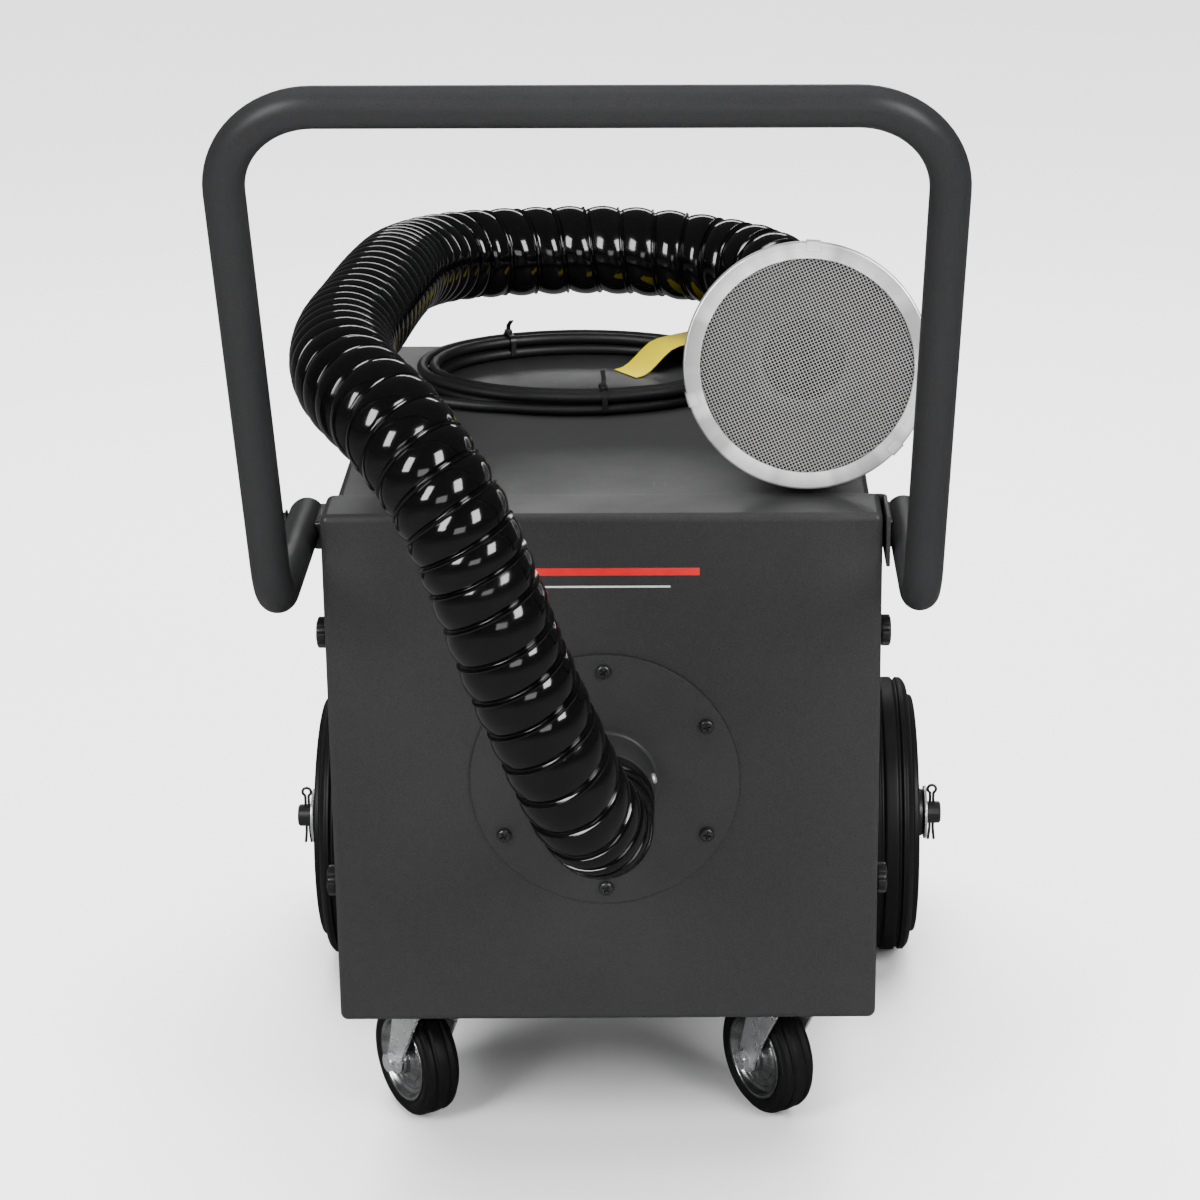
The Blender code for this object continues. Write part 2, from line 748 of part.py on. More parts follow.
def handle_corners():
    half, low = HANDLE_SPACING / 2, LID_Z - HANDLE_DROP
    left = [
        at(-half, HANDLE_REAR_DEPTH, low),
        at(-half, HANDLE_ELBOW_DEPTH, low),
        at(-HANDLE_TOP_SPACING / 2, HANDLE_TOP_DEPTH, LID_Z + HANDLE_TOP_RISE),
    ]
    right = [Vector((-p.x, p.y, p.z)) for p in reversed(left)]
    return left + right


def handle_tube(material):
    radii = (HANDLE_ELBOW_RADIUS, HANDLE_CORNER_RADIUS, HANDLE_CORNER_RADIUS, HANDLE_ELBOW_RADIUS)
    path = rounded_path(handle_corners(), radii)
    bar = as_mesh(tube("handle_tube", path, HANDLE_TUBE_RADIUS, material, 3))
    back = Vector((0, OVERRUN, 0))
    bore_path = [path[0] + back, *path[1:-1], path[-1] + back]
    bore = as_mesh(tube("handle_bore", bore_path, HANDLE_TUBE_RADIUS - HANDLE_WALL, material, 1))
    hide_as_cutter(bore)
    boolean(bar, bore)
    reach = HANDLE_SPACING + 2 * HANDLE_TUBE_RADIUS + 2 * OVERRUN
    starts = [at(-reach / 2, depth, LID_Z - HANDLE_DROP) for depth in HANDLE_BOLT_DEPTHS]
    holes = rods_mesh(
        "tube_bolt_holes", HANDLE_BOLT_RADIUS + FIT, reach, [along(p, (1, 0, 0)) for p in starts], 10
    )
    boolean(bar, cutter("tube_bolt_holes", holes))


def hide_as_cutter(obj):
    """Moves a finished shape to the cutters."""
    obj.hide_render = True
    obj.display_type = "WIRE"
    PARTS.objects.unlink(obj)
    CUTTERS.objects.link(obj)


def handle_saddles(material):
    """Blocks between the tube and the cabinet's walls, hollowed where they hug the tube."""
    inner = CASING_WIDTH / 2 + FIT
    outer = HANDLE_SPACING / 2 - HANDLE_TUBE_RADIUS + SADDLE_HUG
    z = LID_Z - HANDLE_DROP
    middle = sum(HANDLE_BOLT_DEPTHS) / 2
    for name, side in (("left", -1), ("right", 1)):
        centre = at(side * (inner + outer) / 2, middle, z)
        mesh = box_mesh("handle_saddle_" + name, (outer - inner, SADDLE_LENGTH, SADDLE_HEIGHT), centre)
        saddle = add("handle_saddle_" + name, mesh, material)
        start = at(side * HANDLE_SPACING / 2, middle - SADDLE_LENGTH / 2 - OVERRUN, z)
        groove = rods_mesh(
            "saddle_groove_" + name,
            HANDLE_TUBE_RADIUS + 2 * FIT,
            SADDLE_LENGTH + 2 * OVERRUN,
            [along(start, (0, 1, 0))],
            24,
        )
        boolean(saddle, cutter("saddle_groove_" + name, groove))
        length = outer - inner + 2 * OVERRUN
        starts = [at(side * (inner - OVERRUN), depth, z) for depth in HANDLE_BOLT_DEPTHS]
        places = [along(p, (side, 0, 0)) for p in starts]
        holes = rods_mesh("saddle_holes_" + name, HANDLE_BOLT_RADIUS + FIT, length, places, 10)
        boolean(saddle, cutter("saddle_holes_" + name, holes))


def handle_bolts(material):
    seat = HANDLE_SPACING / 2 + HANDLE_TUBE_RADIUS + FIT
    length = seat - INNER_WIDTH / 2 + HANDLE_BOLT_HEAD
    head, height = HANDLE_BOLT_HEAD, HANDLE_BOLT_HEAD
    profile = [
        (0, height),
        (head, height),
        (head, 0),
        (HANDLE_BOLT_RADIUS, 0),
        (HANDLE_BOLT_RADIUS, -length),
        (0, -length),
    ]
    for side_name, side in (("left", -1), ("right", 1)):
        for place_name, depth in zip(("front", "rear"), HANDLE_BOLT_DEPTHS):
            where = along(at(side * seat, depth, LID_Z - HANDLE_DROP), (side, 0, 0))
            turned(f"handle_bolt_{side_name}_{place_name}", profile, where, material, 6)


# Rear wheels


def rear_axle(material):
    half = pin_x() + AXLE_BEYOND_PIN
    start = at(-half, WHEEL_DEPTH, AXLE_Z)
    rod = rods_mesh("rear_axle", AXLE_RADIUS, 2 * half, [along(start, (1, 0, 0))], 16)
    rod.shade_smooth()
    rod.set_sharp_from_angle(angle=math.radians(40))
    axle = add("rear_axle", rod, material)
    starts = [
        along(at(side * pin_x(), WHEEL_DEPTH, AXLE_Z - AXLE_RADIUS - OVERRUN), (0, 0, 1))
        for side in (-1, 1)
    ]
    holes = rods_mesh("pin_holes", PIN_RADIUS + FIT, 2 * (AXLE_RADIUS + OVERRUN), starts, 8)
    boolean(axle, cutter("pin_holes", holes))


def hub_ends():
    """The inner and outer X of a rear wheel's hub."""
    middle = WHEEL_INNER_X + WHEEL_WIDTH / 2
    return middle - WHEEL_HUB_WIDTH / 2, middle + WHEEL_HUB_WIDTH / 2


def pin_x():
    return hub_ends()[1] + 3 * FIT + WASHER_THICKNESS + PIN_EYE_RADIUS


def rear_wheels(rubber, plastic, zinc):
    half = WHEEL_WIDTH / 2
    bore = AXLE_RADIUS + 2 * FIT
    shoulder_share = 0.5
    tread_drop = WHEEL_RADIUS / 25
    tyre = [
        (WHEEL_RIM_RADIUS, half - tread_drop),
        (WHEEL_RADIUS - 3 * tread_drop, half),
        (WHEEL_RADIUS - tread_drop, half - tread_drop),
        (WHEEL_RADIUS, half * shoulder_share),
        (WHEEL_RADIUS, -half * shoulder_share),
        (WHEEL_RADIUS - tread_drop, tread_drop - half),
        (WHEEL_RADIUS - 3 * tread_drop, -half),
        (WHEEL_RIM_RADIUS, tread_drop - half),
    ]
    rim = WHEEL_RIM_RADIUS - FIT
    web = half / 4
    hub = WHEEL_HUB_WIDTH / 2
    disc = [
        (bore, hub),
        (WHEEL_HUB_RADIUS, hub),
        (WHEEL_HUB_RADIUS, web),
        (rim, half - tread_drop),
        (rim, tread_drop - half),
        (WHEEL_HUB_RADIUS, -web),
        (WHEEL_HUB_RADIUS, -hub),
        (bore, -hub),
    ]
    flat = math.pi / WHEEL_STEPS
    for name, side in (("left", -1), ("right", 1)):
        centre = at(side * (WHEEL_INNER_X + half), WHEEL_DEPTH, AXLE_Z)
        spin = joint(f"rear_wheel_{name}_axis", centre)
        where = along(centre, (side, 0, 0))
        turned("rear_tyre_" + name, tyre, where, rubber, WHEEL_STEPS, spin, ring=True, turn=flat)
        turned("rear_hub_" + name, disc, where, plastic, WHEEL_STEPS, spin, ring=True, turn=flat)
        inner = hub_ends()[1] + FIT
        washer = [
            (bore, WASHER_THICKNESS),
            (WASHER_RADIUS, WASHER_THICKNESS),
            (WASHER_RADIUS, 0),
            (bore, 0),
        ]
        where = along(at(side * inner, WHEEL_DEPTH, AXLE_Z), (side, 0, 0))
        turned("axle_washer_" + name, washer, where, zinc, 16, ring=True)


def split_pins(material):
    """A pin with an eye above the axle, and legs that are bent apart below it."""
    for name, side in (("left", -1), ("right", 1)):
        x = side * pin_x()
        eye = PIN_EYE_RADIUS
        top, low = AXLE_Z + PIN_LENGTH / 2, AXLE_Z - PIN_LENGTH / 2
        clear = AXLE_RADIUS + PIN_RADIUS
        points = [
            at(x, WHEEL_DEPTH, top),
            at(x, WHEEL_DEPTH, top - 2 * eye),
            at(x, WHEEL_DEPTH, AXLE_Z + clear),
            at(x, WHEEL_DEPTH, AXLE_Z - clear),
            at(x + side * eye, WHEEL_DEPTH, low),
        ]
        radii = [eye, eye, PIN_RADIUS, PIN_RADIUS, PIN_RADIUS]
        tube("split_pin_" + name, points, PIN_RADIUS, material, 1, radii)


# Casters


def caster(name, side, rubber, zinc):
    swivel = at(side * CASTER_X, CASTER_DEPTH, 0)
    roll = Vector((-math.sin(CASTER_TURN), math.cos(CASTER_TURN), 0))
    across = Vector((-math.cos(CASTER_TURN), -math.sin(CASTER_TURN), 0))
    steer = joint(f"caster_{name}_steer_axis", swivel)
    centre = swivel + roll * CASTER_TRAIL + Vector((0, 0, CASTER_Z))
    spin = joint(f"caster_{name}_wheel_axis", centre)
    caster_plate(name, swivel, zinc)
    caster_fork(name, swivel, centre, zinc, steer)
    caster_wheel(name, along(centre, across), rubber, zinc, spin)
    caster_bolt(name, centre, across, zinc, steer)


def race_bottom():
    return BASE_Z - FIT - CASTER_PLATE_THICKNESS - CASTER_RACE_HEIGHT


def caster_plate(name, swivel, zinc):
    top = BASE_Z - FIT
    size = (CASTER_PLATE_WIDTH, CASTER_PLATE_LENGTH, CASTER_PLATE_THICKNESS)
    centre = swivel + Vector((0, 0, top - CASTER_PLATE_THICKNESS / 2))
    plate = add("caster_plate_" + name, box_mesh("caster_plate_" + name, size, centre), zinc)
    start = swivel + Vector((0, 0, race_bottom()))
    length = CASTER_RACE_HEIGHT + CASTER_PLATE_THICKNESS / 2
    race = rods_mesh("caster_race_" + name, CASTER_RACE_RADIUS, length, [Matrix.Translation(start)], 20)
    boolean(plate, cutter("caster_race_" + name, race), "UNION")


def caster_fork(name, swivel, centre, zinc, steer):
    """Top and two arms of one folded sheet, whose arms lean back to the wheel's axle."""
    top = race_bottom() - FIT
    foot = centre.z - FORK_FOOT_DROP
    bm = bmesh.new()
    size = (FORK_WIDTH, FORK_TOP_LENGTH, top - foot)
    shape = Matrix.Translation((0, 0, (top + foot) / 2)) @ Matrix.Diagonal((*size, 1))
    bmesh.ops.create_cube(bm, size=1, matrix=shape)
    bm.normal_update()
    gone = [f for f in bm.faces if abs(f.normal.y) > 0.5 or f.normal.z < -0.5]
    bmesh.ops.delete(bm, geom=gone, context="FACES")
    for vert in bm.verts:
        if vert.co.z < (top + foot) / 2:
            vert.co.y = CASTER_TRAIL + vert.co.y * FORK_FOOT_LENGTH / FORK_TOP_LENGTH
    turn = Matrix.Translation((swivel.x, swivel.y, 0)) @ Matrix.Rotation(CASTER_TURN, 4, "Z")
    fork = add("caster_fork_" + name, mesh_from("caster_fork_" + name, bm), zinc, turn, steer)
    sheet = fork.modifiers.new("Sheet", "SOLIDIFY")
    sheet.thickness = FORK_SHEET
    sheet.offset = -1
    sheet.use_even_offset = True
    start = Vector((-FORK_WIDTH / 2 - OVERRUN, CASTER_TRAIL, centre.z))
    length = FORK_WIDTH + 2 * OVERRUN
    hole = rods_mesh(
        "fork_hole_" + name, CASTER_BOLT_RADIUS + FIT, length, [turn @ along(start, (1, 0, 0))], 12
    )
    boolean(fork, cutter("fork_hole_" + name, hole))


def caster_wheel(name, where, rubber, zinc, spin):
    half = CASTER_TYRE_WIDTH / 2
    rim = CASTER_RIM_RADIUS
    groove = CASTER_TYRE_WIDTH / 16
    shoulder = CASTER_RADIUS - groove
    tyre = [
        (rim, half - groove),
        (shoulder - groove, half),
        (shoulder, half - groove),
        (CASTER_RADIUS, half / 2),
        (CASTER_RADIUS, -half / 2),
        (shoulder, groove - half),
        (shoulder - groove, -half),
        (rim, groove - half),
    ]
    flat = math.pi / CASTER_STEPS
    turned("caster_tyre_" + name, tyre, where, rubber, CASTER_STEPS, spin, ring=True, turn=flat)
    bore = CASTER_BOLT_RADIUS + FIT
    outer = rim - FIT
    hub = FORK_WIDTH / 2 - FORK_SHEET - 2 * FIT
    dish_shares = ((0.36, 0.98), (0.47, 0.62), (0.80, 0.50))
    dish = [(outer * across_share, hub * width_share) for across_share, width_share in dish_shares]
    side = [(bore, hub), *dish, (outer, half - groove)]
    disc = side + [(radius, -height) for radius, height in reversed(side)]
    turned("caster_rim_" + name, disc, where, zinc, CASTER_STEPS, spin, ring=True, turn=flat)


def caster_bolt(name, centre, across, zinc, steer):
    half = FORK_WIDTH / 2 + FIT
    height = CASTER_BOLT_HEAD_HEIGHT
    shank = [(0, half + height), (CASTER_BOLT_HEAD, half + height), (CASTER_BOLT_HEAD, half)]
    shank += [(CASTER_BOLT_RADIUS, half), (CASTER_BOLT_RADIUS, -half), (CASTER_BOLT_HEAD, -half)]
    shank += [(CASTER_BOLT_HEAD, -half - height), (0, -half - height)]
    turned("caster_bolt_" + name, shank, along(centre, across), zinc, 6, steer)


# Hose arm and nozzle


def nozzle_point(behind):
    """A point on the nozzle's axis, this far behind the face of its ring."""
    return at(NOZZLE_X, NOZZLE_DEPTH, NOZZLE_Z) - FACING * behind


def ball_place():
    """How far behind the ring's face the hose's ball end turns in the cuff."""
    return CONE_LENGTH + CUFF_LENGTH - BALL_HALF_WIDTH - FIT


def hose_line():
    """The arm's middle line, straight for one diameter at both ends."""
    start = [at(0, -FIT - d, INLET_Z) for d in (0, HOSE_STRAIGHT / 2, HOSE_STRAIGHT)]
    end = [nozzle_point(ball_place() + d) for d in (HOSE_STRAIGHT, HOSE_STRAIGHT / 2, 0)]
    rise = LID_Z - INLET_Z
    riser = [
        at(x, depth, INLET_Z + share * rise)
        for (x, depth), share in zip(RISER_ROUTE, RISER_HEIGHT_SHARES)
    ]
    arm = [at(x, depth, LID_Z + height) for x, depth, height in ARM_ROUTE]
    return smooth_line([*start, *riser, *arm, *end], HOSE_INSET)


def rib_stations(total):
    """Length along the arm and radius of each ring of the ribbed wall: a wide band, then an inset one."""
    first, last = HOSE_STRAIGHT / 2, total - HOSE_STRAIGHT / 2
    stations, reach = [(0, HOSE_END_RADIUS), (first, HOSE_END_RADIUS)], first
    while True:
        share = (reach - first) / (last - first)
        pitch = next(p for end, p in zip(HOSE_STRETCH_SHARES, HOSE_PITCHES) if share <= end)
        if reach + pitch > last:
            break
        slope = pitch * (1 - HOSE_RIB_SHARE) / 2
        stations.append((reach + slope, HOSE_RADIUS))
        stations.append((reach + pitch - slope, HOSE_RADIUS))
        stations.append((reach + pitch, HOSE_RADIUS - HOSE_INSET))
        reach += pitch
    return stations


def hose(material, axis):
    line = hose_line()
    reach = lengths_along(line)
    total = reach[-1]
    stations = rib_stations(total)
    half = BALL_HALF_WIDTH
    stations.append((total - 3 * half, BALL_NECK_RADIUS))
    stations.append((total - half, BALL_NECK_RADIUS))
    for offset in (-half / 2, 0, half / 2, half):
        stations.append((total + offset, math.sqrt(BALL_RADIUS**2 - offset**2)))
    points, radii = [], []
    forward = FACING
    for length, radius in stations:
        base = [np.interp(min(length, total), reach, line[:, k]) for k in range(3)]
        points.append(Vector(base) + forward * max(0, length - total))
        radii.append(radius)
    body = as_mesh(tube("hose", points, HOSE_RADIUS, material, 2, radii, axis))
    steps = np.linspace(0, total, round(total / HOSE_RADIUS))
    inner = [Vector([np.interp(s, reach, line[:, k]) for k in range(3)]) for s in steps]
    inner[0] += Vector((0, OVERRUN, 0))
    inner.append(inner[-1] + forward * (half + OVERRUN))
    bore = as_mesh(tube("hose_bore", inner, HOSE_BORE_RADIUS, material, 1, axis=axis))
    hide_as_cutter(bore)
    boolean(body, bore)
    print(f"hose: {total:.3f} m along its middle, {len(stations) // 3} ribs")


def nozzle_cuff(material, tilt):
    front, back = CONE_LENGTH + FIT, CONE_LENGTH + CUFF_LENGTH
    seat = front + SPIGOT_LENGTH
    bore = SPIGOT_RADIUS + 2 * FIT
    profile = [
        (bore, -front),
        (CUFF_RADIUS, -front),
        (CUFF_RADIUS, -back),
        (CUFF_BORE_RADIUS, -back),
        (CUFF_BORE_RADIUS, -seat - FIT),
        (bore, -seat),
    ]
    turned("nozzle_cuff", profile, along(nozzle_point(0), FACING), material, 24, tilt, ring=True)


def nozzle_cone(material, spin):
    wall = NOZZLE_SHEET
    rim = NOZZLE_RADIUS - wall - 2 * FIT
    front = 2 * wall + GUARD_WIRE + 2 * FIT
    skirt = RING_SKIRT + wall
    neck, end = CONE_LENGTH, CONE_LENGTH + SPIGOT_LENGTH
    profile = [
        (rim - wall, -front),
        (rim, -front),
        (rim, -skirt),
        (CUFF_RADIUS, -neck),
        (SPIGOT_RADIUS, -neck),
        (SPIGOT_RADIUS, -end),
        (SPIGOT_RADIUS - wall, -end),
        (SPIGOT_RADIUS - wall, -neck + wall),
        (CUFF_RADIUS - wall, -neck + wall),
        (rim - wall, -skirt),
    ]
    where = along(nozzle_point(0), FACING)
    turned("nozzle_cone", profile, where, material, NOZZLE_STEPS, spin, ring=True)


def guard_ring(material, spin):
    wall = NOZZLE_SHEET
    profile = [
        (RING_BORE_RADIUS, 0),
        (NOZZLE_RADIUS, 0),
        (NOZZLE_RADIUS, -RING_SKIRT),
        (NOZZLE_RADIUS - wall, -RING_SKIRT),
        (NOZZLE_RADIUS - wall, -wall),
        (RING_BORE_RADIUS, -wall),
    ]
    where = along(nozzle_point(0), FACING)
    turned("guard_ring", profile, where, material, NOZZLE_STEPS, spin, ring=True)


def guard_mesh(material, spin):
    """A net of square gaps behind the ring's lip."""
    reach = (NOZZLE_RADIUS - NOZZLE_SHEET) * GUARD_RADIUS_SHARE
    bm = bmesh.new()
    bmesh.ops.create_grid(bm, x_segments=GUARD_CELLS, y_segments=GUARD_CELLS, size=reach)
    outside = [v for v in bm.verts if v.co.length > reach + GUARD_WIRE]
    bmesh.ops.delete(bm, geom=outside, context="VERTS")
    behind = NOZZLE_SHEET + FIT + GUARD_WIRE / 2
    where = along(nozzle_point(behind), FACING)
    net = add("guard_mesh", mesh_from("guard_mesh", bm), material, where, spin)
    wires = net.modifiers.new("Wires", "WIREFRAME")
    wires.thickness = GUARD_WIRE
    wires.use_even_offset = False
    wires.use_boundary = True
    wires.use_replace = True


# Filter and fan


def filter_parts(card, media):
    half_x, low = FILTER_WIDTH / 2, FLOOR_TOP + FIT
    high = low + FILTER_HEIGHT
    back = FILTER_FRONT + FILTER_DEPTH
    folded(
        "filter_frame",
        at(-half_x, FILTER_FRONT, low),
        at(half_x, back, high),
        [(0, -1, 0), (0, 1, 0)],
        card,
        wall=FILTER_FRAME_SHEET,
    )
    inner = half_x - FILTER_FRAME_SHEET - FIT - PLEAT_SHEET / 2
    folds = 2 * PLEAT_COUNT
    ends = (FILTER_FRONT + 2 * PLEAT_SHEET, back - 2 * PLEAT_SHEET)
    bm = bmesh.new()
    line = [
        bm.verts.new(at(-inner + 2 * inner * k / folds, ends[k % 2], low + FILTER_FRAME_SHEET + FIT))
        for k in range(folds + 1)
    ]
    edges = [bm.edges.new(pair) for pair in zip(line, line[1:])]
    made = bmesh.ops.extrude_edge_only(bm, edges=edges)["geom"]
    rise = FILTER_HEIGHT - 2 * (FILTER_FRAME_SHEET + FIT)
    lifted = [v for v in made if isinstance(v, bmesh.types.BMVert)]
    bmesh.ops.translate(bm, verts=lifted, vec=(0, 0, rise))
    pleats = add("filter_media", mesh_from("filter_media", bm), media)
    sheet = pleats.modifiers.new("Sheet", "SOLIDIFY")
    sheet.thickness = PLEAT_SHEET
    sheet.offset = 0


def fan_plate(material):
    """The wall between filter and fan, its top corners cut off under the casing's folds."""
    half = INNER_WIDTH / 2 - FIT - SHEET - FIT
    low, high = FLOOR_TOP + FIT, LID_Z - SHEET - FIT
    centre = at(0, FAN_PLATE_DEPTH + SHEET / 2, (low + high) / 2)
    bm = bmesh.new()
    shape = Matrix.Translation(centre) @ Matrix.Diagonal((2 * half, SHEET, high - low, 1))
    bmesh.ops.create_cube(bm, size=1, matrix=shape)
    along_y = [e for e in bm.edges if abs(e.verts[0].co.y - e.verts[1].co.y) > SHEET / 2]
    corners = [e for e in along_y if e.verts[0].co.z > centre.z]
    bmesh.ops.bevel(bm, geom=corners, offset=FOLD_RADIUS, segments=2, profile=0.5, affect="EDGES")
    plate = add("fan_plate", mesh_from("fan_plate", bm), material)
    start = at(0, FAN_PLATE_DEPTH - OVERRUN, FAN_Z)
    hole = rods_mesh("fan_inlet", FAN_INLET_RADIUS, SHEET + 2 * OVERRUN, [along(start, (0, 1, 0))], 32)
    boolean(plate, cutter("fan_inlet", hole))


def disc_depth():
    """Depth of the front face of the impeller's disc."""
    return FAN_PLATE_DEPTH + SHEET + FAN_RUNNING_GAP + FAN_WIDTH - FAN_DISC


def impeller(material, spin):
    """A backward curved wheel: a disc with a hub behind its blades."""
    bore = SHAFT_RADIUS + FIT
    profile = [
        (bore, FAN_HUB_LENGTH),
        (FAN_HUB_RADIUS, FAN_HUB_LENGTH),
        (FAN_HUB_RADIUS, 0),
        (FAN_RADIUS, 0),
        (FAN_RADIUS, -FAN_DISC),
        (bore, -FAN_DISC),
    ]
    where = along(at(0, disc_depth(), FAN_Z), (0, -1, 0))
    wheel = turned("impeller", profile, where, material, 20, spin, ring=True)
    length = FAN_RADIUS - FAN_INLET_RADIUS * 0.75
    height = FAN_WIDTH - FAN_DISC / 2
    turns = [
        Matrix.Rotation(math.tau * k / BLADE_COUNT, 4, "Z")
        @ Matrix.Translation((FAN_RADIUS - length / 2 - FAN_DISC, 0, 0))
        @ Matrix.Rotation(BLADE_SWEEP, 4, "Z")
        for k in range(BLADE_COUNT)
    ]
    centres = [Vector((0, 0, height / 2 - FAN_DISC / 2))] * BLADE_COUNT
    blades = boxes_mesh("blades", (length, BLADE_THICKNESS, height), centres, turns)
    boolean(wheel, cutter("blades", blades, where), "UNION")


def motor(steel, zinc, spin):
    """The motor with its foot, a folded plate that stands on the floor, and its shaft."""
    front = disc_depth() + FAN_DISC + FAN_RUNNING_GAP
    half, low = MOTOR_BRACKET_WIDTH / 2, FLOOR_TOP + FIT
    foot = folded(
        "motor",
        at(-half, front, low),
        at(half, front + MOTOR_BRACKET_FOOT, FAN_Z + MOTOR_RADIUS),
        [(0, 1, 0), (0, 0, 1), (1, 0, 0), (-1, 0, 0)],
        steel,
        wall=MOTOR_BRACKET_SHEET,
    )
    face = front + MOTOR_BRACKET_SHEET / 2
    places = [along(at(0, face, FAN_Z), (0, 1, 0))]
    can = rods_mesh("motor_can", MOTOR_RADIUS, MOTOR_LENGTH, places, 24)
    boolean(foot, cutter("motor_can", can), "UNION")
    clear = SHAFT_RADIUS + 2 * FIT
    length = MOTOR_LENGTH + 2 * OVERRUN + MOTOR_BRACKET_SHEET
    start = along(at(0, front - OVERRUN, FAN_Z), (0, 1, 0))
    boolean(foot, cutter("shaft_hole", rods_mesh("shaft_hole", clear, length, [start], 16)))
    begin = disc_depth() - FAN_HUB_LENGTH
    length = face + MOTOR_LENGTH - FIT - begin
    rod = rods_mesh("motor_shaft", SHAFT_RADIUS, length, [along(at(0, begin, FAN_Z), (0, 1, 0))], 12)
    add("motor_shaft", rod, zinc, axis=spin)


# Rear fittings


def exhaust_grille(material):
    centre = at(0, CABINET_DEPTH + FIT + GRILLE_THICKNESS / 2, GRILLE_Z)
    plate = box_mesh("exhaust_grille", (GRILLE_WIDTH, GRILLE_THICKNESS, GRILLE_HEIGHT), centre)
    grille = add("exhaust_grille", plate, material)
    width = GRILLE_WIDTH - 4 * GRILLE_LAP
    height = GRILLE_HEIGHT - 4 * GRILLE_LAP
    rows = [height * (k / (GRILLE_SLOTS - 1) - 0.5) for k in range(GRILLE_SLOTS)]
    size = (width, GRILLE_THICKNESS + 2 * OVERRUN, GRILLE_SLOT_HEIGHT)
    slots = boxes_mesh("grille_slots", size, [centre + Vector((0, 0, row)) for row in rows])
    boolean(grille, cutter("grille_slots", slots))


def power_switch(black, red, tilt):
    inside = SWITCH_DEPTH - SWITCH_BEZEL
    back = CABINET_DEPTH + FIT
    bezel = box_mesh(
        "switch_body",
        (SWITCH_WIDTH, SWITCH_BEZEL, SWITCH_HEIGHT),
        at(SWITCH_X, back + SWITCH_BEZEL / 2, SWITCH_Z),
    )
    body = add("switch_body", bezel, black)
    rim = SWITCH_RIM + FIT
    size = (SWITCH_WIDTH - 2 * rim, inside + SWITCH_BEZEL / 2, SWITCH_HEIGHT - 2 * rim)
    middle = at(SWITCH_X, back + SWITCH_BEZEL / 2 - size[1] / 2, SWITCH_Z)
    block = box_mesh("switch_block", size, middle)
    boolean(body, cutter("switch_block", block), "UNION")
    well = (size[0] - 2 * SWITCH_BEZEL, 2 * ROCKER_THICKNESS, size[2] - 2 * SWITCH_BEZEL)
    well_mesh = box_mesh("switch_well", well, at(SWITCH_X, back + SWITCH_BEZEL, SWITCH_Z))
    boolean(body, cutter("switch_well", well_mesh))
    rocker = (well[0] - 4 * FIT, ROCKER_THICKNESS, well[2] - 4 * FIT - SWITCH_BEZEL)
    mesh = box_mesh("switch_rocker", rocker, Vector(), ROCKER_THICKNESS / 8)
    where = Matrix.Translation(rocker_axis()) @ Matrix.Rotation(-ROCKER_TILT, 4, "X")
    add("switch_rocker", mesh, red, where, tilt)


def rocker_axis():
    return at(SWITCH_X, CABINET_DEPTH + FIT + SWITCH_BEZEL - ROCKER_RISE / 2, SWITCH_Z)


def cable_gland(material):
    bore = CORD_RADIUS + FIT
    start = -SHEET - GLAND_INSIDE
    nose_share = 0.72
    profile = [
        (bore, GLAND_LENGTH),
        (GLAND_RADIUS * nose_share, GLAND_LENGTH),
        (GLAND_RADIUS, GLAND_LENGTH * nose_share),
        (GLAND_RADIUS, FIT),
        (GLAND_THREAD_RADIUS, FIT),
        (GLAND_THREAD_RADIUS, start),
        (bore, start),
    ]
    where = along(at(GLAND_X, CABINET_DEPTH, GLAND_Z), (0, 1, 0))
    turned("cable_gland", profile, where, material, 12, ring=True)


# Mains cord


def coil_point(turns):
    """A point of the coil after this many turns: in on the first layer, out again on the second."""
    angle = COIL_START + math.tau * turns
    inward = min(turns, 2 * COIL_TURNS - turns) * COIL_STEP
    climb = min(1, max(0, 2 * (turns - COIL_TURNS) + 0.5))
    x = COIL_X + (COIL_HALF_WIDTH - inward) * math.cos(angle)
    behind = COIL_BEHIND + (COIL_HALF_DEPTH - inward) * math.sin(angle)
    return from_rear(x, behind, LID_Z + CORD_REST + climb * COIL_STEP)


def coil_turns():
    return 2 * COIL_TURNS


def coil_line():
    count = round(coil_turns() * COIL_LOOP_POINTS)
    return [coil_point(coil_turns() * k / count) for k in range(count + 1)]


def least_gap(points, radius, apart):
    """The least gap between stretches of one tube that lie further apart along it than apart."""
    line = smooth_line(points, radius)
    reach = lengths_along(line)
    gaps = np.linalg.norm(line[:, None] - line[None], axis=2)
    gaps[np.abs(reach[:, None] - reach[None]) < apart] = np.inf
    return gaps.min() - 2 * radius


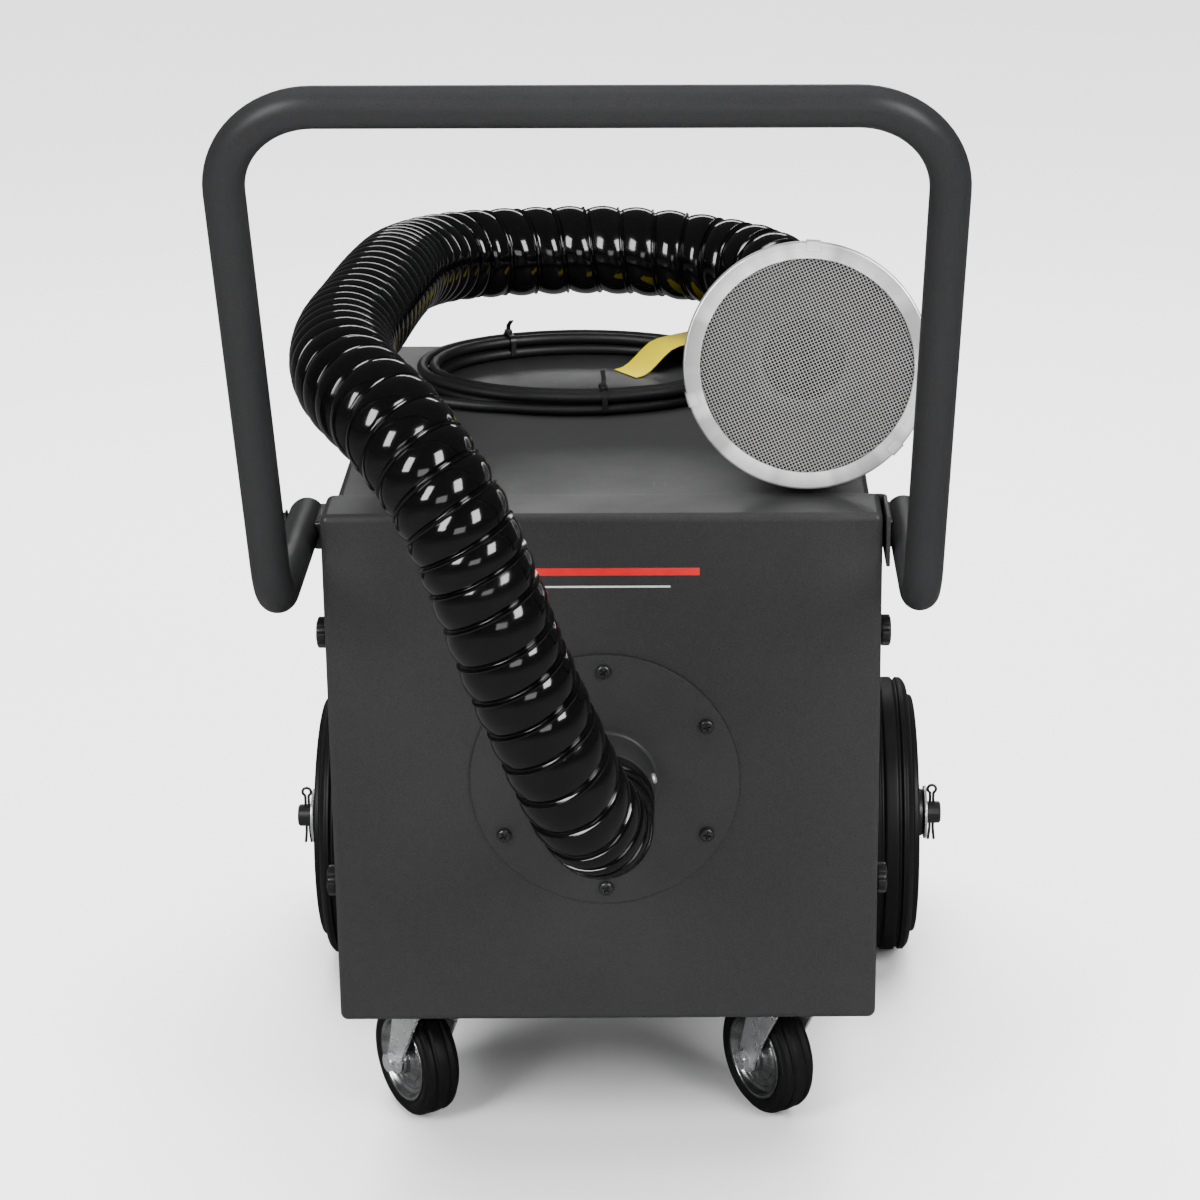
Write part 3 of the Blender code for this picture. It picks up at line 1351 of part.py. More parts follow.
def mains_cord(rubber):
    face = GLAND_LENGTH + FIT
    exit_points = [from_rear(GLAND_X, face + 2 * CORD_RADIUS * k, GLAND_Z) for k in range(3)]
    middle = [from_rear(GLAND_X + x, behind, LID_Z + height) for x, behind, height in CORD_ROUTE]
    coil = coil_line()
    lay = (coil[1] - coil[0]).normalized()
    straight = [coil[0] - lay * (FIT + 2 * CORD_RADIUS * k) for k in (2, 1, 0)]
    route = [*exit_points, *middle, *straight]
    total = lengths_along(smooth_line(route, CORD_RADIUS))[-1]
    tail = smooth_line(route, total / (CORD_POINTS - 1))
    tube("cord_tail", [Vector(p) for p in tail], CORD_RADIUS, rubber, 2)
    entry = from_rear(PLUG_X, PLUG_BEHIND - FIT, LID_Z + FIT + PLUG_HEIGHT / 2)
    lead_in = [entry - Vector((0, 3 * CORD_RADIUS * k, 0)) for k in (2, 1, 0)]
    lead = [from_rear(x, behind, LID_Z + height) for x, behind, height in LEAD_ROUTE]
    run = smooth_line([coil[-1], *lead, *lead_in], 3 * CORD_RADIUS)
    points = coil + [Vector(p) for p in run[1:]]
    tube("cord_coil", points, CORD_RADIUS, rubber, 1)
    gap = least_gap(points, CORD_RADIUS, math.pi * COIL_HALF_DEPTH)
    length = total + lengths_along(np.array([tuple(p) for p in points]))[-1]
    print(f"cord: {length:.3f} m in all, least gap in its coil {1000 * gap:.2f} mm")


def plug(material):
    middle = from_rear(PLUG_X, PLUG_BEHIND + PLUG_LENGTH / 2, LID_Z + FIT + PLUG_HEIGHT / 2)
    size = (PLUG_WIDTH, PLUG_LENGTH, PLUG_HEIGHT)
    body = add("plug", box_mesh("plug", size, middle, PLUG_EDGE, 2), material)
    reach = PLUG_PIN_LENGTH + PLUG_EDGE
    centre = middle + Vector((0, PLUG_LENGTH / 2 + PLUG_PIN_LENGTH / 2 - PLUG_EDGE / 2, 0))
    centres = [centre + Vector((x, 0, 0)) for x in (-PLUG_PIN_SPACING / 2, PLUG_PIN_SPACING / 2)]
    pins = boxes_mesh("plug_pins", (PLUG_PIN_WIDTH, reach, PLUG_PIN_THICKNESS), centres)
    boolean(body, cutter("plug_pins", pins), "UNION")
    above = centre + Vector((0, 0, PLUG_PIN_WIDTH))
    earth = box_mesh("earth_pin", (PLUG_PIN_THICKNESS, reach, PLUG_PIN_WIDTH), above)
    boolean(body, cutter("earth_pin", earth), "UNION")


def main():
    global PARTS, CUTTERS
    clear_scene()
    PARTS = collection("fume_extractor")
    CUTTERS = collection("cutters")
    coat = finish("charcoal_powder_coat", (0.045, 0.046, 0.048), 0.45)
    tube_coat = finish("black_tube_coat", (0.03, 0.031, 0.033), 0.4)
    vinyl = finish("glossy_black_hose", (0.01, 0.01, 0.011), 0.12)
    rubber = finish("black_rubber", (0.015, 0.015, 0.015), 0.6)
    plastic = finish("black_plastic", (0.02, 0.02, 0.02), 0.4)
    zinc = finish("zinc_plate", (0.72, 0.72, 0.7), 0.3, 1.0)
    bright = finish("brushed_steel", (0.62, 0.62, 0.6), 0.3, 1.0)
    black_steel = finish("blackened_steel", (0.025, 0.025, 0.025), 0.35, 0.8)
    card = finish("filter_card", (0.75, 0.7, 0.6), 0.9)
    media = finish("filter_paper", (0.9, 0.9, 0.88), 0.95)
    red = finish("red_rocker", (0.5, 0.02, 0.02), 0.3)

    slide = joint("front_cover_axis", at(0, 0, INLET_Z))
    front_cover(coat, slide)
    inlet_flange(coat, slide)
    flange_screws(black_steel, slide)
    casing_wrap(coat)
    base_pan(coat)
    rear_panel(coat)
    cover_catch(coat)
    cover_knobs(plastic)

    handle_tube(tube_coat)
    handle_saddles(plastic)
    handle_bolts(black_steel)

    rear_axle(zinc)
    rear_wheels(rubber, plastic, zinc)
    split_pins(zinc)
    for name, side in (("left", -1), ("right", 1)):
        caster(name, side, rubber, zinc)

    hose(vinyl, slide)
    tilt = joint("nozzle_tilt_axis", nozzle_point(ball_place()))
    spin = joint("nozzle_turn_axis", nozzle_point(0))
    nozzle_cuff(plastic, tilt)
    nozzle_cone(black_steel, spin)
    guard_ring(bright, spin)
    guard_mesh(bright, spin)

    filter_parts(card, media)
    fan_plate(coat)
    fan = joint("impeller_axis", at(0, disc_depth(), FAN_Z))
    impeller(plastic, fan)
    motor(black_steel, zinc, fan)

    exhaust_grille(plastic)
    power_switch(plastic, red, joint("switch_axis", rocker_axis()))
    cable_gland(plastic)
    mains_cord(rubber)
    plug(plastic)


main()
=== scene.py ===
"""Looks of the mobile welding fume extractor, built round its packed CAD part."""

import math

import bmesh
import bpy
import numpy as np
from mathutils import Matrix, Vector


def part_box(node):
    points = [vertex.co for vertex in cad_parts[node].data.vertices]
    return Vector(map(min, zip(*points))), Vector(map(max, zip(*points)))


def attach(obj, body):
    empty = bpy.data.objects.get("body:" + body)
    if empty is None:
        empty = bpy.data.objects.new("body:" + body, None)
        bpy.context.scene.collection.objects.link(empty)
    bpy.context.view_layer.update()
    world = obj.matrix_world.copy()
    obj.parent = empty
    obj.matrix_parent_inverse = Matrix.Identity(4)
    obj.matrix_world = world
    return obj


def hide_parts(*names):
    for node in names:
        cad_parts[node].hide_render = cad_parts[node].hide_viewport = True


bl_info = {
    "name": "Mobile fume extractor",
    "version": (1, 0, 0),
    "blender": (4, 5, 0),
    "location": "3D View > Sidebar > Fume extractor",
    "description": "Builds the cabinet, hose arm, nozzle, wheels, cord and studio of a mobile fume extractor",
    "category": "Add Mesh",
}

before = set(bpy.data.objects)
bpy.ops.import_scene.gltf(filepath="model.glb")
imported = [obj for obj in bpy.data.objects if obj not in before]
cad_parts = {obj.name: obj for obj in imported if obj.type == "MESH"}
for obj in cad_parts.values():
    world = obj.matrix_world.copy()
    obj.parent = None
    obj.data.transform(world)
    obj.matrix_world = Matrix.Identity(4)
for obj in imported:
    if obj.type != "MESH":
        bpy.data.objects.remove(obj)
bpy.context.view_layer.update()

# The cabinet's walls, as the frame gives them
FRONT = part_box("front_cover")[0].y
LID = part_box("casing_wrap")[1].z
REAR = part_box("rear_panel")[1].y
# Clearance between pieces that meet, as in the packed part
FIT = 0.0003
SIDES = ((-1, "left"), (1, "right"))
DOWN, OUT_BACK, OUT_FRONT = (0, 0, -1), (0, 1, 0), (0, -1, 0)


# Sizes and colours


def length(name, default, description):
    return bpy.props.FloatProperty(
        name=name, description=description, default=default, unit="LENGTH", subtype="DISTANCE", precision=4
    )


def colour(name, default, description):
    return bpy.props.FloatVectorProperty(
        name=name, description=description, default=default, subtype="COLOR", size=3, min=0, max=1
    )


def count(name, default, description):
    return bpy.props.IntProperty(name=name, description=description, default=default, min=1)


class FumeCabinetSizes(bpy.types.PropertyGroup):
    """Folded sheet of the cabinet"""

    sheet: length("Sheet", 0.0015, "Thickness of the folded sheet")
    fold: length("Fold radius", 0.006, "Outer radius of a fold")
    coat: colour("Powder coat", (0.0158, 0.0159, 0.0163), "Charcoal powder coat")
    stripe: colour("Stripe", (0.36, 0.002, 0.005), "Red trim line on the cover")


class FumeInletSizes(bpy.types.PropertyGroup):
    """Flange and collar on the front cover"""

    height: length("Height", 0.345, "Height of the inlet's middle over the floor")
    flange_radius: length("Flange radius", 0.103, "Radius of the round flange")
    flange_sheet: length("Flange sheet", 0.002, "Thickness of the flange")
    collar_radius: length("Collar radius", 0.0385, "Outer radius of the collar")
    collar_wall: length("Collar wall", 0.0015, "Wall of the collar")
    collar_length: length("Collar length", 0.038, "How far the collar stands out")
    screw_circle: length("Screw circle", 0.09, "Radius of the circle of screws")
    screw_count: count("Screws", 6, "Number of flange screws")
    head_radius: length("Head radius", 0.0057, "Radius of a pan head")
    head_height: length("Head height", 0.0034, "Height of a pan head")


class FumeKnobSizes(bpy.types.PropertyGroup):
    """Knobs and catch of the front cover"""

    radius: length("Radius", 0.012, "Radius over the lobes")
    thickness: length("Thickness", 0.0085, "Thickness of the grip")
    lobes: count("Lobes", 6, "Number of lobes")
    stem: length("Stem", 0.016, "How far the stem reaches in")


class FumeHandleSizes(bpy.types.PropertyGroup):
    """Bent tube of the push handle"""

    radius: length("Tube radius", 0.014, "Outer radius of the tube")
    spacing: length("Spacing", 0.464, "Distance between the stubs")
    top_spacing: length("Top spacing", 0.4784, "Distance between the legs at the top corners")
    drop: length("Drop", 0.033, "How far the stubs lie under the lid")
    top_rise: length("Top rise", 0.355, "Height of the grip over the lid")
    elbow: length("Elbow radius", 0.046, "Bend radius of the lower elbows")
    corner: length("Corner radius", 0.062, "Bend radius of the upper corners")
    coat: colour("Tube coat", (0.0130, 0.0133, 0.0138), "Satin black powder coat")


class FumeWheelSizes(bpy.types.PropertyGroup):
    """Large rear wheels"""

    width: length("Width", 0.05, "Width of the tyre")
    rim: length("Rim radius", 0.0915, "Radius where the tyre sits on the rim")
    hub: length("Hub radius", 0.022, "Radius of the hub")
    hub_width: length("Hub width", 0.07, "Width of the hub")
    axle: length("Axle radius", 0.01, "Radius of the axle")
    spokes: count("Spokes", 10, "Number of ribs on each side of the wheel's disc")
    rubber: colour("Tyre rubber", (0.0032, 0.0032, 0.0032), "Black tyre rubber")


class FumeCasterSizes(bpy.types.PropertyGroup):
    """Swivel casters under the front"""

    turn: bpy.props.FloatProperty(
        name="Turn", description="How far the casters are swung", default=math.radians(33), subtype="ANGLE"
    )
    trail: length("Trail", 0.031, "Distance of the wheel's axle behind the swivel")
    tyre_width: length("Tyre width", 0.032, "Width of the tyre")
    rim: length("Rim radius", 0.036, "Radius where the tyre sits on the rim")
    fork_width: length("Fork width", 0.044, "Outer width of the fork")
    fork_sheet: length("Fork sheet", 0.0025, "Sheet of the fork")
    zinc: colour("Zinc", (0.64, 0.65, 0.66), "Bright zinc plate")


class FumeHoseSizes(bpy.types.PropertyGroup):
    """Wound wall of the hose arm"""

    radius: length("Radius", 0.0385, "Outer radius over the wide bands")
    inset: length("Inset", 0.0032, "How far the narrow bands lie in")
    sides: count("Sides", 56, "Points round one turn of the wall")
    straight: length("Straight end", 0.077, "Straight run at both ends")
    vinyl: colour("Vinyl", (0.0010, 0.0010, 0.0011), "Glossy black hose wall")


class FumeNozzleSizes(bpy.types.PropertyGroup):
    """Round nozzle at the arm's end"""

    radius: length("Radius", 0.0937, "Outer radius of the bright ring")
    bore: length("Bore radius", 0.0807, "Inner radius of the ring's lip")
    skirt: length("Skirt", 0.014, "How far the ring's skirt reaches back")
    wire: length("Wire", 0.00064, "Thickness of the mesh's wire")
    pitch: length("Pitch", 0.0024, "Distance between the mesh's wires")
    steel: colour("Steel", (0.92, 0.92, 0.91), "Brushed bright steel")


class FumeCordSizes(bpy.types.PropertyGroup):
    """Mains cord"""

    radius: length("Radius", 0.0045, "Radius of the cord")
    rubber: colour("Sheath", (0.0040, 0.0040, 0.0042), "Matte black sheath")
    tag: colour("Tag", (0.42, 0.34, 0.0), "Plain yellow tag")


GROUPS = {
    "fume_cabinet": FumeCabinetSizes,
    "fume_inlet": FumeInletSizes,
    "fume_knobs": FumeKnobSizes,
    "fume_handle": FumeHandleSizes,
    "fume_wheels": FumeWheelSizes,
    "fume_casters": FumeCasterSizes,
    "fume_hose": FumeHoseSizes,
    "fume_nozzle": FumeNozzleSizes,
    "fume_cord": FumeCordSizes,
}


# Places and lines


def at(x, depth, z):
    """The point this far behind the front cover's face."""
    return Vector((x, FRONT + depth, z))


def from_rear(x, behind, height):
    """The point this far behind the rear panel and over the lid."""
    return Vector((x, REAR + behind, LID + height))


def along(point, direction):
    """A placement whose Z axis runs along a direction."""
    return Matrix.Translation(point) @ Vector(direction).to_track_quat("Z", "Y").to_matrix().to_4x4()


def from_side(side, reach, depth, z):
    """A placement on one side of the cabinet, its Z axis pointing away from it."""
    return along(at(side * reach, depth, z), (side, 0, 0))


def smooth_line(points, step):
    """Points a steady step apart along a smooth curve through the given ones."""
    given = np.array([tuple(p) for p in points], dtype=float)
    ends = np.vstack([2 * given[0] - given[1], given, 2 * given[-1] - given[-2]])
    shares = np.linspace(0, 1, 24, endpoint=False)[:, None]
    runs = []
    for a, b, c, d in zip(ends, ends[1:], ends[2:], ends[3:]):
        linear = (c - a) * shares
        square = (2 * a - 5 * b + 4 * c - d) * shares**2
        cube = (3 * b - a - 3 * c + d) * shares**3
        runs.append(b + (linear + square + cube) / 2)
    fine = np.vstack([*runs, given[-1:]])
    reach = lengths_along(fine)
    wanted = np.linspace(0, reach[-1], max(2, round(reach[-1] / step) + 1))
    return read_at(fine, reach, wanted)


def lengths_along(points):
    return np.concatenate([[0], np.cumsum(np.linalg.norm(np.diff(points, axis=0), axis=1))])


def read_at(line, reach, wanted):
    """The line's points at the wanted lengths."""
    return np.stack([np.interp(wanted, reach, line[:, k]) for k in range(3)], axis=1)


def rounded_path(corners, radii, turns=14):
    """Straight runs through corners in the XY plane or in space, each corner rounded by its own radius."""
    corners = [Vector(corner).to_3d() for corner in corners]
    path = [corners[0]]
    for before, corner, after, radius in zip(corners, corners[1:], corners[2:], radii):
        to, away = (corner - before).normalized(), (after - corner).normalized()
        bend = to.angle(away)
        centre = corner + (away - to).normalized() * radius / math.cos(bend / 2)
        start = corner - to * radius * math.tan(bend / 2) - centre
        axis = to.cross(away).normalized()
        path += [centre + Matrix.Rotation(bend * k / turns, 3, axis) @ start for k in range(turns + 1)]
    return [*path, corners[-1]]


def soften(profile, radius, steps=4, closed=True):
    """The same profile with its corners rounded, each by less than half of its shorter side."""
    points = [np.array(p, float) for p in profile]
    made, total = [], len(points)
    for k, point in enumerate(points):
        if not closed and k in (0, total - 1):
            made.append(point)
            continue
        before, after = points[k - 1] - point, points[(k + 1) % total] - point
        reach = min(radius, np.linalg.norm(before) / 2.2, np.linalg.norm(after) / 2.2)
        a, b = (point + way / max(np.linalg.norm(way), 1e-9) * reach for way in (before, after))
        made += [(1 - t) ** 2 * a + 2 * t * (1 - t) * point + t**2 * b for t in np.linspace(0, 1, steps + 1)]
    return [(float(r), float(h)) for r, h in made]


def both_faces(side):
    """An outline of (radius, height) and its mirror image under the XY plane."""
    return [*side, *[(r, -h) for r, h in reversed(side)]]


def carried_axes(line):
    """Side and up directions along a line, carried without twist."""
    tangents = np.gradient(line, axis=0)
    tangents /= np.linalg.norm(tangents, axis=1)[:, None]
    guess = np.array([0, 0, 1.0]) if abs(tangents[0][2]) < 0.9 else np.array([1.0, 0, 0])
    side = np.cross(tangents[0], guess)
    sides = []
    for tangent in tangents:
        side = side - tangent * np.dot(side, tangent)
        side /= np.linalg.norm(side)
        sides.append(side)
    sides = np.array(sides)
    return sides, np.cross(tangents, sides)


# Meshes


def in_scene(name, data):
    """A new object of the scene."""
    obj = bpy.data.objects.new(name, data)
    bpy.context.scene.collection.objects.link(obj)
    return obj


def plain_mesh(name, points, faces=()):
    mesh = bpy.data.meshes.new(name)
    mesh.from_pydata([tuple(p) for p in points], [], faces)
    mesh.validate()
    return mesh


def outward(mesh, weld=1e-6):
    """The same mesh with its doubles merged and its faces turned outwards."""
    bm = bmesh.new()
    bm.from_mesh(mesh)
    if weld:
        bmesh.ops.remove_doubles(bm, verts=bm.verts[:], dist=weld)
    bmesh.ops.recalc_face_normals(bm, faces=bm.faces[:])
    bm.to_mesh(mesh)
    bm.free()
    return mesh


def rows_of_faces(rows, columns, closed=True):
    """Quads between rows of points, right round each row where it is closed."""
    faces = []
    for a in range(0, (rows - 1) * columns, columns):
        for s in range(columns if closed else columns - 1):
            t = (s + 1) % columns
            faces.append((a + s, a + t, a + columns + t, a + columns + s))
    return faces


def turned(name, profile, where=Matrix(), steps=64, ring=True, shape=None):
    """A profile of (radius, height) turned about the placement's Z axis. shape may change a radius by its angle."""
    points, faces, rows = [], [], []
    for radius, height in profile:
        start = len(points)
        if radius < 1e-7:
            points.append((0, 0, height))
            rows.append([start] * steps)
            continue
        for angle in np.linspace(0, math.tau, steps, endpoint=False):
            r = shape(radius, height, angle) if shape else radius
            points.append((r * math.cos(angle), r * math.sin(angle), height))
        rows.append(range(start, start + steps))
    for one, two in zip(rows, [*rows[1:], rows[0]] if ring else rows[1:]):
        for s in range(steps):
            t = (s + 1) % steps
            face = tuple(dict.fromkeys((one[s], one[t], two[t], two[s])))
            if len(face) > 2:
                faces.append(face)
    mesh = plain_mesh(name, points, faces)
    mesh.transform(where)
    return outward(mesh)


def swept(name, points, radius, sides=24):
    """A round bar along points, its ends slightly rounded. Its UV map runs along and around."""
    line = np.array([tuple(p) for p in points], float)
    radii = np.full(len(line), radius, float)
    for _end in range(2):
        line, radii = rounded_start(line, radii)
        line, radii = line[::-1], radii[::-1]
    side, up = carried_axes(line)
    angles = np.linspace(0, math.tau, sides, endpoint=False)
    ring = np.cos(angles)[None, :, None] * side[:, None] + np.sin(angles)[None, :, None] * up[:, None]
    grid = line[:, None] + ring * radii[:, None, None]
    rows = len(line)
    first, last = rows * sides, rows * sides + 1
    faces = rows_of_faces(rows, sides)
    for s in range(sides):
        t = (s + 1) % sides
        faces += [(first, t, s), (last, (rows - 1) * sides + s, (rows - 1) * sides + t)]
    mesh = plain_mesh(name, [*grid.reshape(-1, 3), line[0], line[-1]], faces)
    reach = lengths_along(line)
    layer = mesh.uv_layers.new(name="run")
    for poly in mesh.polygons:
        wraps = any(mesh.loops[k].vertex_index % sides == sides - 1 for k in poly.loop_indices)
        for loop in poly.loop_indices:
            v = mesh.loops[loop].vertex_index
            row, s = divmod(v, sides) if v < first else ((0 if v == first else rows - 1), 0)
            layer.data[loop].uv = (1 if s == 0 and wraps else s / sides, reach[row])
    return mesh


def rounded_start(line, radii, share=0.35):
    """A bar's points and radii with a small rounding at its first end."""
    turns = np.array([0.25, 0.6, 0.85])
    out = (line[0] - line[1]) / np.linalg.norm(line[0] - line[1])
    edge = radii[0] * share
    back = edge * np.append(1 - np.sqrt(1 - (1 - turns) ** 2), 1)
    small = radii[0] - edge * np.append(1 - turns, 0)
    return np.vstack([line[0] - out * back[:, None], line[1:]]), np.concatenate([small, radii[1:]])


def rounded_box(name, low, high, edge, segments=3, open_sides=(), upright=False):
    """A box without its open sides, the edges between its faces rounded, or only the upright ones."""
    low, high = Vector(low), Vector(high)
    bm = bmesh.new()
    shape = Matrix.Translation((low + high) / 2) @ Matrix.Diagonal((*(high - low), 1))
    bmesh.ops.create_cube(bm, size=1, matrix=shape)
    bm.normal_update()
    gone = [f for f in bm.faces if any(f.normal.dot(Vector(side)) > 0.5 for side in open_sides)]
    bmesh.ops.delete(bm, geom=gone, context="FACES")
    edges = [e for e in bm.edges if len(e.link_faces) == 2]
    if upright:
        edges = [e for e in edges if abs(e.verts[0].co.z - e.verts[1].co.z) > 0.001]
    bmesh.ops.bevel(bm, geom=edges, offset=edge, segments=segments, profile=0.5, affect="EDGES")
    mesh = bpy.data.meshes.new(name)
    bm.to_mesh(mesh)
    bm.free()
    return mesh


def thickened(name, mesh, sheet, offset=0.0):
    return through(name, mesh, "SOLIDIFY", thickness=sheet, offset=offset, use_even_offset=True)


def folded(name, low, high, open_sides, fold, wall):
    """A folded sheet: a box with some sides open, its wall inside the box and its folds rounded."""
    return thickened(name, rounded_box(name, low, high, fold, 6, open_sides), wall, -1)


def curtain(name, line, low, high, sheet, offset=0.0):
    """A sheet that stands on a line in the XY plane, from one height to another."""
    points = [(p[0], p[1], z) for z in (low, high) for p in line]
    mesh = outward(plain_mesh(name, points, rows_of_faces(2, len(line), False)))
    return thickened(name, mesh, sheet, offset)


def lofted(name, sections, where, columns=48):
    """A closed body through rounded rectangles: each is a height, two half widths and how square it is."""
    points = []
    for height, wide, deep, square in sections:
        for angle in np.linspace(0, math.tau, columns, endpoint=False):
            across, up = (math.copysign(abs(c) ** (2 / square), c) for c in (math.cos(angle), math.sin(angle)))
            points.append((wide * across, deep * up, height))
    faces = rows_of_faces(len(sections), columns)
    faces += [tuple(range(columns)), tuple(range(len(points) - columns, len(points)))]
    mesh = plain_mesh(name, points, faces)
    mesh.transform(where)
    return outward(mesh)


def through(name, mesh, kind, others=(), **settings):
    """The mesh after a modifier, or after one modifier for each of the other objects."""
    obj = in_scene(name + "_shape", mesh)
    for extra in [{"object": other} for other in others] or [{}]:
        modifier = obj.modifiers.new(kind.title(), kind)
        for key, value in {**settings, **extra}.items():
            setattr(modifier, key, value)
    return taken(name, obj)


def taken(name, obj):
    """The mesh that an object's modifiers make. The object goes."""
    bpy.context.view_layer.update()
    graph = bpy.context.evaluated_depsgraph_get()
    made = bpy.data.meshes.new_from_object(obj.evaluated_get(graph), preserve_all_data_layers=True, depsgraph=graph)
    bpy.data.objects.remove(obj)
    made.name = name
    return made


def cut(name, mesh, cutters, operation="DIFFERENCE"):
    """The mesh with other meshes cut away from it, or joined to it."""
    others = [in_scene(f"{name}_cutter_{k}", cutter) for k, cutter in enumerate(cutters)]
    made = through(name, mesh, "BOOLEAN", others, operation=operation, solver="EXACT")
    for other in others:
        bpy.data.objects.remove(other)
    return made


def joined(name, meshes):
    """Several meshes in one."""
    bm = bmesh.new()
    for mesh in meshes:
        bm.from_mesh(mesh)
    made = bpy.data.meshes.new(name)
    bm.to_mesh(made)
    bm.free()
    return made


def hexed(apothem, shank, free=math.inf):
    """Keeps what is wider than a bolt's shank, up to a free washer, inside a hexagon."""

    def shape(radius, height, angle):
        if radius <= shank or radius > free:
            return radius
        off = (angle + math.pi / 6) % (math.pi / 3) - math.pi / 6
        return min(radius, apothem / math.cos(off))

    return shape


def pan_screw(name, radius, height, shank, reach):
    """A pan head screw with a cross recess. Its head stands on the XY plane and its shank runs down."""
    turns = np.linspace(0, 1.45, 8)
    dome = [(radius * (0.62 + 0.38 * math.cos(t)), height * (0.25 + 0.75 * math.sin(t))) for t in turns]
    outline = [(0, -reach), (shank, -reach), (shank, 0), (radius, 0), *dome, (0, height)]
    head = turned(name, outline, steps=40, ring=False)
    half, thin, deep = radius * 0.52, radius * 0.1, height * 0.55
    slots = []
    for turn in (0, math.pi / 2):
        slot = rounded_box("slot", (-half, -thin, height - deep), (half, thin, height * 2), radius * 0.03, 1)
        slot.transform(Matrix.Rotation(turn, 4, "Z"))
        slots.append(slot)
    return cut(name, head, slots)


def piece(name, mesh, finish, body="cabinet", nodes=None, crease=34, weighted=False):
    """A finished piece, smooth up to its creases. It stands for the CAD node of its own name, or for others."""
    mesh.name = name
    for attribute in ("sharp_face", "sharp_edge"):
        if attribute in mesh.attributes:
            mesh.attributes.remove(mesh.attributes[attribute])
    mesh.shade_smooth()
    mesh.set_sharp_from_angle(angle=math.radians(crease))
    if weighted:
        mesh = through(name, mesh, "WEIGHTED_NORMAL", keep_sharp=True, weight=90)
    material, slot = finish
    if material not in mesh.materials[:]:
        mesh.materials.clear()
        mesh.materials.append(material)
    obj = in_scene(name, mesh)
    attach(obj, body)
    nodes = [name] if nodes is None else nodes
    if nodes:
        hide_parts(*nodes)
    return obj


def dress(material, *nodes):
    """Gives packed solids that already have their real shape a material."""
    for node in nodes:
        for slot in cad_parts[node].material_slots:
            slot.material = material


# Node trees


class Graph:
    """Adds nodes to a tree, each from its settings and what feeds its sockets."""

    def __init__(self, tree):
        self.tree = tree

    def add(self, kind, inputs=None, **settings):
        node = self.tree.nodes.new(kind)
        for key, value in settings.items():
            setattr(node, key, value)
        row, column = divmod(len(self.tree.nodes), 12)
        node.location = (190 * column, -260 * row)
        self.feed(node, inputs or {})
        return node

    def feed(self, node, inputs):
        """Links the node's sockets, or gives them values."""
        for key, value in inputs.items():
            target = self.free(node.inputs, key)
            if isinstance(value, bpy.types.NodeSocket):
                self.tree.links.new(value, target)
            else:
                target.default_value = (*value, 1) if target.type == "RGBA" else value

    @staticmethod
    def free(sockets, key):
        """The socket with that number, or the first one in use with that name."""
        if isinstance(key, int):
            return sockets[key]
        return next(s for s in sockets if s.name == key and s.enabled)

    def out(self, kind, inputs=None, key=0, **settings):
        return self.free(self.add(kind, inputs, **settings).outputs, key)

    def math(self, operation, *values, clamp=False):
        return self.out("ShaderNodeMath", dict(enumerate(values)), operation=operation, use_clamp=clamp)

    def plus(self, a, b):
        return self.math("ADD", a, b)

    def minus(self, a, b, clamp=False):
        return self.math("SUBTRACT", a, b, clamp=clamp)

    def times(self, a, b):
        return self.math("MULTIPLY", a, b)

    def over(self, a, b, clamp=False):
        return self.math("DIVIDE", a, b, clamp=clamp)

    def vector(self, operation, *values, key="Vector"):
        return self.out("ShaderNodeVectorMath", dict(enumerate(values)), key, operation=operation)

    def scaled(self, vector, value):
        return self.out("ShaderNodeVectorMath", {0: vector, 3: value}, operation="SCALE")

    def parts(self, vector):
        """The X, Y and Z of a vector."""
        return self.add("ShaderNodeSeparateXYZ", {0: vector}).outputs

    def spread(self, value, low, high, low_to=0.0, high_to=1.0):
        """A value taken from one range to another and kept inside it."""
        return self.out("ShaderNodeMapRange", {0: value, 1: low, 2: high, 3: low_to, 4: high_to})

    def noise(self, vector, scale, detail, roughness):
        inputs = {"Vector": vector, "Scale": scale, "Detail": detail, "Roughness": roughness}
        return self.out("ShaderNodeTexNoise", inputs)

    def blend(self, factor, a, b):
        return self.out("ShaderNodeMix", {0: factor, 6: a, 7: b}, 2, data_type="RGBA")


def once(shelf):
    """Makes what carries a name one time, and finds it again later."""

    def wrapped(make):
        return lambda name, *values, **more: getattr(bpy.data, shelf).get(name) or make(name, *values, **more)

    return wrapped


def node_group(name, kind, inputs, outputs):
    """An empty group's graph, inputs and output node. Each input is given by its default, or by its kind."""
    tree = bpy.data.node_groups.new(name, kind)
    for socket, default in inputs.items():
        socket_type = "NodeSocket" + {float: "Float", int: "Int"}.get(type(default), default)
        made = tree.interface.new_socket(name=socket, in_out="INPUT", socket_type=socket_type)
        if not isinstance(default, str):
            made.default_value = default
    for socket, value in outputs.items():
        tree.interface.new_socket(name=socket, in_out="OUTPUT", socket_type="NodeSocket" + value)
    graph = Graph(tree)
    return graph, graph.add("NodeGroupInput").outputs, graph.add("NodeGroupOutput")


